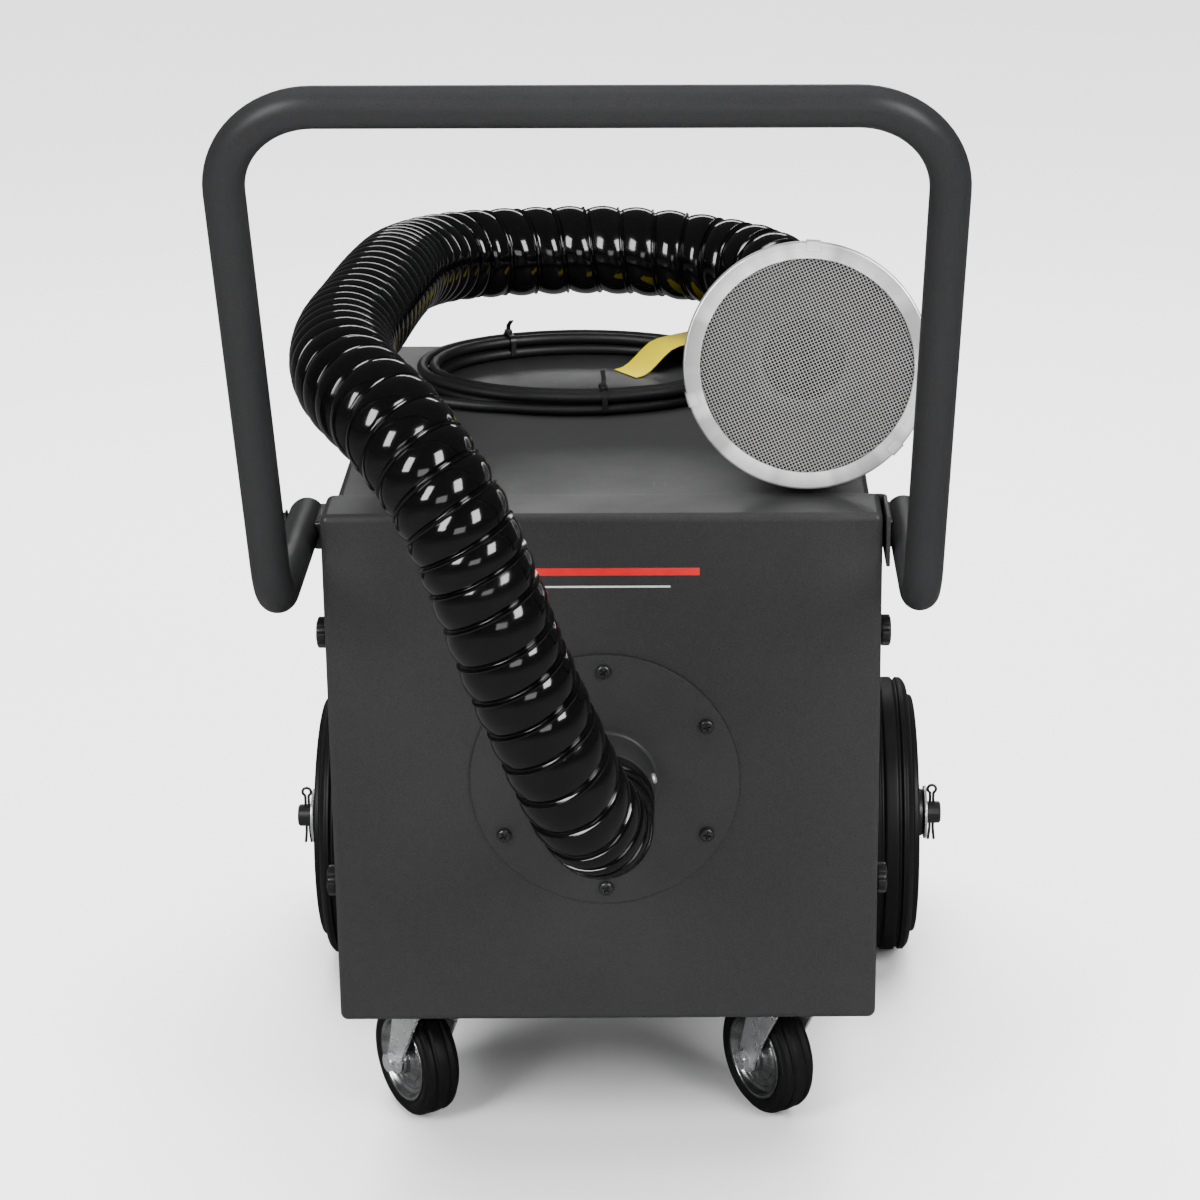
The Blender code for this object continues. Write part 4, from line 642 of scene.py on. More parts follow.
@once("node_groups")
def grain_group(name):
    """Fine grain: a mottled value, a height and a broad cloud. Scale is in grains per metre."""
    outputs = {"Mottle": "Float", "Height": "Float", "Cloud": "Float"}
    graph, given, result = node_group(name, "ShaderNodeTree", {"Vector": "Vector", "Scale": 900.0}, outputs)
    where, scale = given["Vector"], given["Scale"]
    fine = graph.noise(where, scale, detail=2.0, roughness=0.6)
    coarse = graph.noise(where, graph.times(scale, 0.31), detail=2.0, roughness=0.5)
    cloud = graph.noise(where, graph.times(scale, 0.011), detail=4.0, roughness=0.6)
    height = graph.plus(graph.times(fine, 0.6), graph.times(coarse, 0.4))
    mottle = graph.spread(fine, 0.3, 0.7)
    graph.feed(result, {"Mottle": mottle, "Height": height, "Cloud": graph.spread(cloud, 0.35, 0.65)})
    return graph.tree


@once("node_groups")
def worn_edges_group(name):
    """Wear along the edges of a box, broken up by noise: 1 where the paint is worn thin."""
    inputs = {"Vector": "Vector", "Centre": "Vector", "Half size": "Vector", "Width": 0.004}
    graph, given, result = node_group(name, "ShaderNodeTree", inputs, {"Mask": "Float"})
    off = graph.vector("ABSOLUTE", graph.vector("SUBTRACT", given["Vector"], given["Centre"]))
    x, y, z = graph.parts(graph.vector("SUBTRACT", given["Half size"], off))
    least, most = graph.math("MINIMUM", x, y), graph.math("MAXIMUM", x, y)
    second = graph.math("MAXIMUM", least, graph.math("MINIMUM", most, z))
    near = graph.minus(1.0, graph.over(second, given["Width"], clamp=True), clamp=True)
    chips = graph.spread(graph.noise(given["Vector"], 140.0, detail=4.0, roughness=0.7), 0.46, 0.62)
    broken = graph.plus(0.35, graph.times(chips, 0.65))
    graph.feed(result, {"Mask": graph.times(graph.math("POWER", near, 2.0), broken)})
    return graph.tree


@once("node_groups")
def marks_group(name):
    """Handling marks: faint rubbed patches and fine scratches."""
    outputs = {"Rubbed": "Float", "Scratches": "Float"}
    graph, given, result = node_group(name, "ShaderNodeTree", {"Vector": "Vector", "Scale": 9.0}, outputs)
    rubbed = graph.spread(graph.noise(given["Vector"], given["Scale"], detail=5.0, roughness=0.62), 0.5, 0.72)
    stretched = graph.vector("MULTIPLY", given["Vector"], (260.0, 30.0, 9.0))
    tilted = graph.out("ShaderNodeVectorRotate", {"Vector": stretched, "Angle": 0.5}, rotation_type="Y_AXIS")
    lines = graph.spread(graph.noise(tilted, 1.0, detail=1.0, roughness=0.4), 0.71, 0.75)
    graph.feed(result, {"Rubbed": rubbed, "Scratches": graph.times(lines, rubbed)})
    return graph.tree


# Finishes


class Surface(Graph):
    """A new material's graph, with its shader and the object's coordinates."""

    def __init__(self, name):
        self.material = bpy.data.materials.new(name)
        self.material.use_nodes = True
        super().__init__(self.material.node_tree)
        self.shader = self.tree.nodes["Principled BSDF"]
        self.where = self.out("ShaderNodeTexCoord", key="Object")

    def group(self, tree, inputs=None):
        return self.add("ShaderNodeGroup", {"Vector": self.where, **(inputs or {})}, node_tree=tree).outputs

    def patches(self, scale, detail, roughness, low, high):
        """Soft patches of noise, 0 between them and 1 in them."""
        return self.spread(self.noise(self.where, scale, detail, roughness), low, high)

    def finished(self, tone, rough, height, distance, others=None):
        """The material, its shader fed with a tone, a roughness, a bump of that distance and other values."""
        bump = self.out("ShaderNodeBump", {"Height": height, "Distance": distance})
        self.feed(self.shader, {"Base Color": tone, "Roughness": rough, "Normal": bump, **(others or {})})
        return self.material


def shaded(base, share):
    """A colour made lighter or darker by a share."""
    return tuple(min(1.0, c * (1 + share)) for c in base)


@once("materials")
def coat(name, base, roughness=0.42, box=None, grain=1100.0, specular=0.2):
    """Satin powder coat: orange peel grain, cloudy sheen, rubbed marks and worn folds."""
    look = Surface(name)
    grains, marks = look.group(grain_group("Grain"), {"Scale": grain}), look.group(marks_group("Handling marks"))
    tone = look.blend(grains["Mottle"], shaded(base, -0.26), shaded(base, 0.26))
    tone = look.blend(look.times(marks["Rubbed"], 0.10), tone, shaded(base, 0.6))
    rough = look.plus(roughness - 0.05, look.times(grains["Cloud"], 0.08))
    rough = look.minus(rough, look.times(marks["Scratches"], 0.08))
    if box:
        low, high = box
        edges = {"Centre": (low + high) / 2, "Half size": (high - low) / 2}
        wear = look.group(worn_edges_group("Worn edges"), edges)["Mask"]
        tone = look.blend(look.times(wear, 0.35), tone, shaded(base, 2.2))
        rough = look.minus(rough, look.times(wear, 0.07))
    return look.finished(tone, rough, grains["Height"], 0.00009, {"Specular IOR Level": specular})


@once("materials")
def moulded(name, base, roughness, specular=0.5):
    """Moulded plastic: fine spark grain, slightly polished where it is touched."""
    look = Surface(name)
    grains = look.group(grain_group("Grain"), {"Scale": 1600.0})
    tone = look.blend(grains["Cloud"], shaded(base, -0.15), shaded(base, 0.25))
    rough = look.plus(roughness - 0.06, look.times(grains["Mottle"], 0.12))
    return look.finished(tone, rough, grains["Height"], 0.00005, {"Specular IOR Level": specular})


@once("materials")
def rubber(name, base):
    """Tyre rubber: dull, a little dusty in its hollows, with fine mould grain."""
    look = Surface(name)
    grains = look.group(grain_group("Grain"), {"Scale": 700.0})
    dust = look.patches(38.0, detail=6.0, roughness=0.7, low=0.52, high=0.75)
    tone = look.blend(grains["Mottle"], shaded(base, -0.2), shaded(base, 0.3))
    tone = look.blend(look.times(dust, 0.008), tone, (0.16, 0.155, 0.15))
    rough = look.plus(0.4, look.times(grains["Cloud"], 0.16))
    return look.finished(tone, rough, grains["Height"], 0.00008, {"Specular IOR Level": 0.18})


@once("materials")
def plated(name, base, roughness=0.24, spangle=260.0):
    """Zinc plate: bright metal with faint spangle, dull spots and a milky film."""
    look = Surface(name)
    inputs = {"Vector": look.where, "Scale": spangle, "Randomness": 1.0}
    cells = look.out("ShaderNodeTexVoronoi", inputs, key="Color")
    cell = look.out("ShaderNodeSeparateColor", {0: cells})
    film = look.patches(60.0, detail=5.0, roughness=0.65, low=0.45, high=0.7)
    tone = look.blend(cell, shaded(base, -0.04), shaded(base, 0.03))
    tone = look.blend(look.times(film, 0.3), tone, shaded(base, -0.25))
    rough = look.plus(look.plus(roughness, look.times(film, 0.16)), look.times(cell, 0.04))
    grain = look.noise(look.where, 900.0, detail=2.0, roughness=0.5)
    return look.finished(tone, rough, grain, 0.000012, {"Metallic": 0.85})


@once("materials")
def brushed(name, base, centre, facing, roughness, metallic=1.0):
    """Steel brushed in circles round an axis, with fine streaks that follow the brush, and painted reflection: some
    sectors round the axis are darker.
    """
    look = Surface(name)
    off = look.vector("SUBTRACT", look.where, tuple(centre))
    high = look.vector("DOT_PRODUCT", off, tuple(facing), key="Value")
    flat = look.vector("SUBTRACT", off, look.scaled(tuple(facing), high))
    lines = look.out("ShaderNodeCombineXYZ", {0: look.vector("LENGTH", flat, key="Value"), 1: high})
    soft = look.vector("ADD", lines, look.vector("MULTIPLY", look.where, (0.02, 0.02, 0.02)))
    streaks = look.noise(soft, 2600.0, detail=3.0, roughness=0.7)
    # Painted reflection: noise on the direction round the axis darkens whole sectors, standing in for the bright
    # and dark sweeps that reflections make on brushed metal
    painted_reflection_sweep = look.spread(look.noise(look.vector("NORMALIZE", flat), 2.6, detail=2.0, roughness=0.5), 0.42, 0.58)
    stain = look.patches(70.0, detail=5.0, roughness=0.65, low=0.4, high=0.75)
    tone = look.blend(streaks, shaded(base, -0.35), shaded(base, 0.12))
    tone = look.blend(look.times(painted_reflection_sweep, 0.8), tone, shaded(base, -0.6))
    tone = look.blend(look.times(stain, 0.3), tone, shaded(base, -0.45))
    rough = look.plus(roughness - 0.08, look.times(streaks, 0.18))
    tangent = look.out("ShaderNodeTangent", direction_type="RADIAL", axis="Y")
    others = {"Metallic": metallic, "Anisotropic": 0.55, "Tangent": tangent}
    return look.finished(tone, rough, streaks, 0.00005, others)


@once("materials")
def vinyl(name, base):
    """Glossy hose wall: deep black, wet shine, faint flow lines and a little dust between the ribs."""
    look = Surface(name)
    flow = look.noise(look.where, 150.0, detail=3.0, roughness=0.5)
    smear = look.patches(24.0, detail=5.0, roughness=0.6, low=0.48, high=0.72)
    rise = look.out("ShaderNodeAttribute", key="Fac", attribute_name="rise")
    dust = look.times(look.minus(1.0, rise, clamp=True), smear)
    tone = look.blend(flow, shaded(base, -0.3), shaded(base, 0.5))
    tone = look.blend(look.times(dust, 0.006), tone, (0.10, 0.10, 0.10))
    rough = look.plus(look.plus(0.095, look.times(smear, 0.05)), look.times(dust, 0.10))
    return look.finished(tone, rough, flow, 0.00005, {"Specular IOR Level": 0.45})


@once("materials")
def sheath(name, base):
    """Cord sheath: matte rubber with fine lines along the cord."""
    look = Surface(name)
    run = look.out("ShaderNodeUVMap", uv_map="run")
    lines = look.noise(look.vector("MULTIPLY", run, (26.0, 40.0, 1.0)), 1.0, detail=2.0, roughness=0.5)
    dust = look.patches(55.0, detail=5.0, roughness=0.7, low=0.5, high=0.75)
    tone = look.blend(lines, shaded(base, -0.2), shaded(base, 0.4))
    tone = look.blend(look.times(dust, 0.01), tone, (0.14, 0.14, 0.14))
    return look.finished(tone, look.plus(0.44, look.times(lines, 0.14)), lines, 0.00008)


@once("materials")
def paper(name, base, scale=420.0, roughness=0.9):
    """Paper or board: matted fibres and soft stains."""
    look = Surface(name)
    fibres = look.noise(look.vector("MULTIPLY", look.where, (1.0, 1.0, 0.25)), scale, detail=5.0, roughness=0.75)
    stain = look.noise(look.where, 12.0, detail=4.0, roughness=0.6)
    tone = look.blend(fibres, shaded(base, -0.18), shaded(base, 0.05))
    tone = look.blend(look.spread(stain, 0.45, 0.75, 0.0, 0.35), tone, shaded(base, -0.4))
    rough = look.spread(fibres, 0.3, 0.7, roughness - 0.08, roughness)
    return look.finished(tone, rough, fibres, 0.0002, {"Specular IOR Level": 0.1})


# A finish is a material and the slot of the packed part that it stands for


def body_coat(name, box=None):
    material = coat("charcoal_powder_coat_" + name, tuple(bpy.context.scene.fume_cabinet.coat), box=box)
    return material, "charcoal_powder_coat"


def black_plastic():
    return moulded("grained_black_plastic", (0.0056, 0.0056, 0.0059), 0.38), "black_plastic"


def zinc():
    return plated("bright_zinc", tuple(bpy.context.scene.fume_casters.zinc)), "zinc_plate"


def blackened(slot="blackened_steel"):
    return coat("oiled_black_steel", (0.008, 0.008, 0.0084), 0.3, grain=1800.0, specular=0.5), slot


def tyre_rubber():
    return rubber("tyre_rubber", tuple(bpy.context.scene.fume_wheels.rubber)), "black_tyre"


# Geometry Nodes


def growth_group(name, inputs):
    """An empty tree that starts from a mesh and ends in a mesh with one material."""
    sockets = {"Geometry": "Geometry", **inputs, "Material": "Material"}
    return node_group(name, "GeometryNodeTree", sockets, {"Geometry": "Geometry"})


def finished_tree(graph, given, result, geometry):
    """Ends a tree in real geometry with its material."""
    real = graph.out("GeometryNodeRealizeInstances", {"Geometry": geometry})
    done = graph.out("GeometryNodeSetMaterial", {"Geometry": real, "Material": given["Material"]})
    graph.feed(result, {"Geometry": done})
    return graph.tree


def grown(name, mesh, tree, values):
    """The plain mesh that a node tree makes from a starting mesh and its named inputs."""
    obj = in_scene(name + "_growth", mesh)
    modifier = obj.modifiers.new("Growth", "NODES")
    modifier.node_group = tree
    for item in tree.interface.items_tree:
        if item.name in values and item.in_out == "INPUT":
            modifier[item.identifier] = values[item.name]
    return taken(name, obj)


def joined_geometry(graph, parts):
    join = graph.add("GeometryNodeJoinGeometry")
    for part in parts:
        graph.tree.links.new(part, join.inputs[0])
    return join.outputs[0]


def named(graph, name, kind="FLOAT_VECTOR"):
    return graph.out("GeometryNodeInputNamedAttribute", {"Name": name}, "Attribute", data_type=kind)


@once("node_groups")
def copies_group(name):
    """Copies of a mesh at another object's points, each turned by its point's own angles."""
    graph, given, result = growth_group(name, {"Places": "Object"})
    places = graph.out("GeometryNodeObjectInfo", {"Object": given["Places"]}, "Geometry")
    inputs = {"Points": places, "Instance": given["Geometry"], "Rotation": named(graph, "turn")}
    return finished_tree(graph, given, result, graph.out("GeometryNodeInstanceOnPoints", inputs))


def copies(name, mesh, places, material=None):
    """One mesh of copies, each at its own placement."""
    points = plain_mesh(name + "_places", [place.translation for place in places])
    turns = points.attributes.new("turn", "FLOAT_VECTOR", "POINT")
    angles = [tuple(place.to_euler()) for place in places]
    turns.data.foreach_set("vector", np.array(angles, np.float32).ravel())
    holder = in_scene(name + "_places", points)
    made = grown(name, mesh, copies_group("Copies at points"), {"Places": holder, "Material": material})
    bpy.data.objects.remove(holder)
    return made


def sampled(graph, source, field, row, kind="FLOAT_VECTOR"):
    """A field read from another mesh's points, at a row that may lie between two of them."""
    low = graph.math("FLOOR", row)
    values = []
    for step in (0.0, 1.0):
        index = graph.out("FunctionNodeFloatToInt", {0: graph.plus(low, step)}, rounding_mode="ROUND")
        inputs = {"Geometry": source, "Value": field, "Index": index}
        values.append(graph.out("GeometryNodeSampleIndex", inputs, data_type=kind, domain="POINT", clamp=True))
    mode, first, result = ("FLOAT", 2, 0) if kind == "FLOAT" else ("VECTOR", 4, 1)
    inputs = {0: graph.minus(row, low), first: values[0], first + 1: values[1]}
    return graph.out("ShaderNodeMix", inputs, result, data_type=mode)


def wound_strip(graph, given, line, rows_per_rib, profile=None):
    """A sheet wound along a line: its rows follow the rib's helix, and its seam meets itself one rib on."""
    sides, ribs = given["Sides"], given["Ribs"]
    rows = graph.plus(graph.times(graph.plus(ribs, 1.0), rows_per_rib), 1.0)
    around = graph.plus(sides, 1.0)
    sheet = graph.out("GeometryNodeMeshGrid", {"Vertices X": rows, "Vertices Y": around}, "Mesh")
    index = graph.out("GeometryNodeInputIndex")
    position = graph.out("GeometryNodeInputPosition")
    row = graph.math("FLOOR", graph.over(graph.plus(index, 0.5), around))
    turn = graph.over(graph.minus(index, graph.times(row, around)), sides)
    rib = graph.math("FLOOR", graph.over(graph.plus(row, 0.5), rows_per_rib))
    share = 0.0
    if profile:
        step = graph.minus(row, graph.times(rib, rows_per_rib))
        share, height, _unused = graph.parts(sampled(graph, profile, position, step))
    phase = graph.plus(graph.plus(graph.minus(rib, 1.0), share), turn)
    phase = graph.math("MINIMUM", graph.math("MAXIMUM", phase, 0.0), ribs)
    row_at = graph.times(phase, given["Steps per rib"])
    radius, rise = given["Bore"], 1.0
    if profile:
        height = graph.times(height, sampled(graph, line, named(graph, "ribbed", "FLOAT"), row_at, "FLOAT"))
        radius = graph.plus(sampled(graph, line, named(graph, "reach", "FLOAT"), row_at, "FLOAT"), height)
        rise = graph.math("ADD", 1.0, graph.over(height, given["Inset"]), clamp=True)
    place = sampled(graph, line, position, row_at)
    angle = graph.times(turn, math.tau)
    for axis, wave in (("across", "COSINE"), ("up", "SINE")):
        away = graph.times(radius, graph.math(wave, angle))
        place = graph.vector("ADD", place, graph.scaled(sampled(graph, line, named(graph, axis), row_at), away))
    placed = graph.out("GeometryNodeSetPosition", {"Geometry": sheet, "Position": place})
    inputs = {"Geometry": placed, "Name": "rise", "Value": rise}
    return graph.out("GeometryNodeStoreNamedAttribute", inputs, data_type="FLOAT", domain="POINT")


@once("node_groups")
def wound_wall_group(name):
    """The hose's wall: one rib's outline wound along a line, with a plain bore inside."""
    inputs = {"Line": "Object", "Ribs": 100, "Rows per rib": 12, "Steps per rib": 8, "Sides": 44}
    graph, given, result = growth_group(name, {**inputs, "Inset": 0.0032, "Bore": 0.03})
    line = graph.out("GeometryNodeObjectInfo", {"Object": given["Line"]}, "Geometry")
    outer = wound_strip(graph, given, line, given["Rows per rib"], given["Geometry"])
    wall = joined_geometry(graph, (outer, wound_strip(graph, given, line, 1.0)))
    merged = graph.out("GeometryNodeMergeByDistance", {"Geometry": wall, "Distance": 0.00002})
    return finished_tree(graph, given, result, merged)


@once("node_groups")
def woven_group(name):
    """Wires woven over and under each other inside a circle, in the XY plane."""
    graph, given, result = growth_group(name, {"Radius": 0.086, "Pitch": 0.0029, "Wire": 0.0009})
    pitch, half_wire = given["Pitch"], graph.times(given["Wire"], 0.5)
    half_count = graph.math("CEIL", graph.over(given["Radius"], pitch))
    wires = graph.times(half_count, 2.0)
    span = graph.times(wires, pitch)
    steps = graph.plus(graph.times(half_count, 4.0), 1.0)
    inputs = {"Size X": span, "Size Y": span, "Vertices X": steps, "Vertices Y": graph.plus(wires, 1.0)}
    sheet = graph.out("GeometryNodeMeshGrid", inputs, "Mesh")
    ends = graph.add("GeometryNodeInputMeshEdgeVertices").outputs
    one, two = (graph.parts(ends[end])[1] for end in ("Position 1", "Position 2"))
    crossing = graph.math("GREATER_THAN", graph.math("ABSOLUTE", graph.minus(one, two)), graph.times(pitch, 0.25))
    inputs = {"Geometry": sheet, "Selection": crossing}
    threads = graph.out("GeometryNodeDeleteGeometry", inputs, domain="EDGE", mode="EDGE_FACE")
    where = graph.out("GeometryNodeInputPosition")
    beyond = graph.math("GREATER_THAN", graph.vector("LENGTH", where, key="Value"), given["Radius"])
    inputs = {"Geometry": threads, "Selection": beyond}
    threads = graph.out("GeometryNodeDeleteGeometry", inputs, domain="POINT", mode="ALL")
    places = graph.parts(where)[:2]
    waves = [graph.math("COSINE", graph.times(graph.over(part, pitch), math.pi)) for part in places]
    lift = graph.times(graph.times(*waves), half_wire)
    section = graph.out("GeometryNodeCurvePrimitiveCircle", {"Resolution": 4, "Radius": half_wire})
    layers = []
    for sign, turn in ((1.0, 0.0), (-1.0, math.pi / 2)):
        offset = graph.out("ShaderNodeCombineXYZ", {2: graph.times(lift, sign)})
        waved = graph.out("GeometryNodeSetPosition", {"Geometry": threads, "Offset": offset})
        line = graph.out("GeometryNodeMeshToCurve", {"Mesh": waved})
        wire = graph.out("GeometryNodeCurveToMesh", {"Curve": line, "Profile Curve": section, "Fill Caps": True})
        layers.append(graph.out("GeometryNodeTransform", {"Geometry": wire, "Rotation": (0.0, 0.0, turn)}))
    return finished_tree(graph, given, result, joined_geometry(graph, layers))


# The object's lines, which its packed solids follow too

FACING = Vector((0, -math.cos(math.radians(12)), math.sin(math.radians(12))))
NOZZLE_FACE = at(0.1546, 0.06, 0.6565)
# Where the ring's tabs sit, in degrees from the right, seen from the front
TAB_ANGLES = (87, 196, -43)
# The hose's ball end: its middle behind the nozzle's face, its radius, the neck before it and half its length
BALL_BEHIND, BALL_RADIUS, BALL_NECK, BALL_HALF = 0.0927, 0.0372, 0.0315, 0.009
HOSE_BORE = 0.030
# Points of the hose's middle line: across, behind the cover's face, and over the floor
HOSE_ROUTE = (
    (-0.001, -0.120, 0.362), (-0.0125, -0.158, 0.397), (-0.0285, -0.180, 0.445), (-0.056, -0.190, 0.5187),
    (-0.071, -0.193, 0.565), (-0.097, -0.186, 0.628), (-0.134, -0.150, 0.672), (-0.174, -0.080, 0.688),
    (-0.1885, 0.020, 0.6855), (-0.184, 0.120, 0.6815), (-0.1765, 0.230, 0.676), (-0.169, 0.330, 0.663),
    (-0.139, 0.415, 0.6505), (-0.0693, 0.455, 0.645), (0.0085, 0.460, 0.644), (0.0867, 0.442, 0.6395),
    (0.1387, 0.385, 0.639), (0.157, 0.300, 0.629),
)  # fmt: skip
# How long a rib is, up to each share of the ribbed length
HOSE_STRETCH = (
    (0.07, 0.017), (0.21, 0.0275), (0.3, 0.0215), (0.62, 0.0205), (0.68, 0.0235), (0.88, 0.029), (1, 0.019),
)  # fmt: skip
# One rib: share of its length, and height over the wide band
RIB_OUTLINE = (
    (0.0, -0.0040), (0.02, -0.0037), (0.045, -0.0029), (0.10, -0.0023), (0.18, -0.0015), (0.30, -0.0006),
    (0.42, -0.0001), (0.55, 0.0), (0.68, -0.0004), (0.80, -0.0012), (0.885, -0.0022), (0.912, -0.0009),
    (0.950, -0.0008), (0.975, -0.0037),
)  # fmt: skip
# The coil's outer turn is an oval. COIL_STEP is how far its turns and layers lie apart, COIL_START its first
# angle in degrees, COIL_LAYER the turns of one layer and COIL_LIFT the height of the first over the lid
COIL_MIDDLE, COIL_HALF, COIL_STEP = (-0.028, -0.108), (0.137, 0.098), 0.0102
COIL_START, COIL_LAYER, COIL_LIFT = -115, 2.1, 0.0048
GLAND_X, GLAND_Z, GLAND_LENGTH = -0.15, 0.5, 0.026
# The cord's way up, across from its gland, and its way from the coil to the plug. The second and third numbers
# are how far behind the rear panel and over the lid a point lies
CORD_ROUTE = (
    (-0.0010, 0.061, -0.0593), (-0.0115, 0.080, -0.0540), (-0.0300, 0.0915, -0.0430), (-0.0530, 0.0890, -0.0280),
    (-0.079, 0.060, -0.008), (-0.0885, 0.002, 0.0095), (-0.083, -0.058, 0.0155), (-0.067, -0.113, 0.0135),
    (-0.041, -0.152, 0.0075), (-0.005, -0.1735, COIL_LIFT),
)  # fmt: skip
LEAD_ROUTE = ((0.100, -0.1555, 0.0146), (0.1263, -0.1398, 0.0142), (0.1435, -0.1266, 0.0134))
PLUG_X, PLUG_BEHIND, PLUG_HEIGHT = 0.15, -0.1, 0.026
# Half widths of cover and casing, and the knobs' places on the cover's sides
COVER_HALF, CASING_HALF = 0.21, 0.203
KNOB_DEPTH, KNOB_HEIGHTS = 0.03, (0.247, 0.455)


def hose_line(straight, height):
    start = [at(0, -FIT - d, height) for d in (0, straight / 2, straight)]
    end = [NOZZLE_FACE - FACING * (BALL_BEHIND + d) for d in (straight, straight / 2, 0)]
    return smooth_line([*start, *(at(*point) for point in HOSE_ROUTE), *end], 0.0032)


def coil_point(turns):
    """A point of the coil after this many turns: in on the first layer, out again on the second."""
    angle = math.radians(COIL_START) + math.tau * turns
    inward = min(turns, 2 * COIL_LAYER - turns) * COIL_STEP
    climb = min(1, max(0, 2 * (turns - COIL_LAYER) + 0.5))
    x = COIL_MIDDLE[0] + (COIL_HALF[0] - inward) * math.cos(angle)
    behind = COIL_MIDDLE[1] + (COIL_HALF[1] - inward) * math.sin(angle)
    return from_rear(x, behind, COIL_LIFT + climb * COIL_STEP)


def cord_line(radius):
    """The cord's middle line: out of the gland, up over the lid's edge, round its coil and to the plug."""
    face = GLAND_LENGTH + FIT
    leaving = [Vector((GLAND_X, REAR + face + 3 * radius * k, GLAND_Z)) for k in range(2)]
    middle = [from_rear(GLAND_X + x, behind, height) for x, behind, height in CORD_ROUTE]
    steps = round(2 * COIL_LAYER * 24)
    coil = [coil_point(2 * COIL_LAYER * k / steps) for k in range(steps + 1)]
    straight = coil[0] - (coil[1] - coil[0]).normalized() * 6 * radius
    lead = [from_rear(*place) for place in LEAD_ROUTE]
    entry = from_rear(PLUG_X, PLUG_BEHIND - FIT, FIT + PLUG_HEIGHT / 2)
    lead_in = [entry - Vector((0, 2 * radius * k, 0)) for k in (1, 0)]
    return smooth_line([*leaving, *middle, straight, *coil, *lead, *lead_in], radius)


# Studio, as seen in the photo

CAMERA_PLACE, CAMERA_TILT, CAMERA_TURN = (0.0692, FRONT - 2.2, 1.3257), 17.918, -0.68
CAMERA_LENS, CAMERA_SENSOR, CAMERA_SHIFT = 93.91, 36, (-0.108, -0.13)
FLOOR_HALF, SKY_STRENGTH, SUN_STRENGTH = 14, 0.09, 7.6
# Name, place, target, width and height, and watts of each soft light
LIGHTS = (
    ("left_softbox", (-1.7, -2.1, 2.1), (0, 0, 0.5), (0.95, 1.5), 112),
    ("right_softbox", (1.8, -2.0, 2.1), (0, 0, 0.5), (0.95, 1.5), 112),
    ("front_card", (0.3, -3.2, 1.1), (0.1, 0, 0.7), (1.3, 0.7), 12),
    ("back_card", (0, 2.8, 1.62), (0, 0, 0.56), (1.5, 0.34), 10),
    ("overhead_softbox", (0, 0.9, 3.2), (0, 0.2, 0.4), (2.6, 1.6), 130),
)


def add_light(name, where, target, size, power):
    light = bpy.data.lights.new(name, "AREA")
    light.shape = "RECTANGLE"
    light.size, light.size_y = size
    light.energy = power
    lamp = in_scene(name, light)
    lamp.location = where
    lamp.rotation_euler = (Vector(target) - Vector(where)).to_track_quat("-Z", "Y").to_euler()
    return lamp


def add_sun(strength):
    """Even soft light from above, which keeps the floor pale all round."""
    light = bpy.data.lights.new("sky_panel", "SUN")
    light.energy, light.angle = strength, math.radians(70)
    lamp = in_scene("sky_panel", light)
    lamp.rotation_euler = (math.radians(-12), 0, 0)
    lamp.visible_glossy = False


def add_floor(half):
    corner_points = [(-half, -half, 0), (half, -half, 0), (half, half, 0), (-half, half, 0)]
    floor = in_scene("floor", plain_mesh("floor", corner_points, [(0, 1, 2, 3)]))
    look = Surface("pale_floor")
    haze = look.noise(look.where, 1.5, detail=2.0, roughness=0.5)
    pale = look.blend(haze, (0.93, 0.93, 0.93), (0.96, 0.96, 0.96))
    mirrored = look.out("ShaderNodeLightPath", key="Is Glossy Ray")
    tone = look.blend(mirrored, pale, (0.06, 0.06, 0.06))
    look.feed(look.shader, {"Base Color": tone, "Roughness": 0.75})
    floor.data.materials.append(look.material)


class FUME_OT_studio(bpy.types.Operator):
    """Sets up the camera, the pale floor and the soft lights"""

    bl_idname = "fume.studio"
    bl_label = "Studio"

    def execute(self, context):
        lens = bpy.data.cameras.new("Camera")
        lens.lens, lens.sensor_width = CAMERA_LENS, CAMERA_SENSOR
        lens.shift_x, lens.shift_y = CAMERA_SHIFT
        camera = in_scene("Camera", lens)
        camera.location = CAMERA_PLACE
        camera.rotation_euler = (math.radians(90 - CAMERA_TILT), 0, math.radians(CAMERA_TURN))
        context.scene.camera = camera
        add_floor(FLOOR_HALF)
        world = bpy.data.worlds.new("Studio")
        world.use_nodes = True
        sky = world.node_tree.nodes["Background"].inputs
        sky["Color"].default_value = (1, 1, 1, 1)
        sky["Strength"].default_value = SKY_STRENGTH
        context.scene.world = world
        lamps = {light[0]: add_light(*light) for light in LIGHTS}
        lamps["back_card"].visible_camera = False
        lamps["overhead_softbox"].visible_glossy = False
        add_sun(SUN_STRENGTH)
        return {"FINISHED"}


# Pieces


def spun(name, outline, where, finish, steps, body="cabinet", crease=34, ring=True, shape=None):
    """A turned piece that stands for the CAD node of its name."""
    return piece(name, turned(name, outline, where, steps, ring, shape), finish, body, crease=crease)


def copied(name, mesh, places, finish, body="cabinet", nodes=(), crease=34):
    """A piece made of copies of a mesh."""
    return piece(name, outward(copies(name, mesh, places, finish[0]), 0), finish, body, nodes, crease)


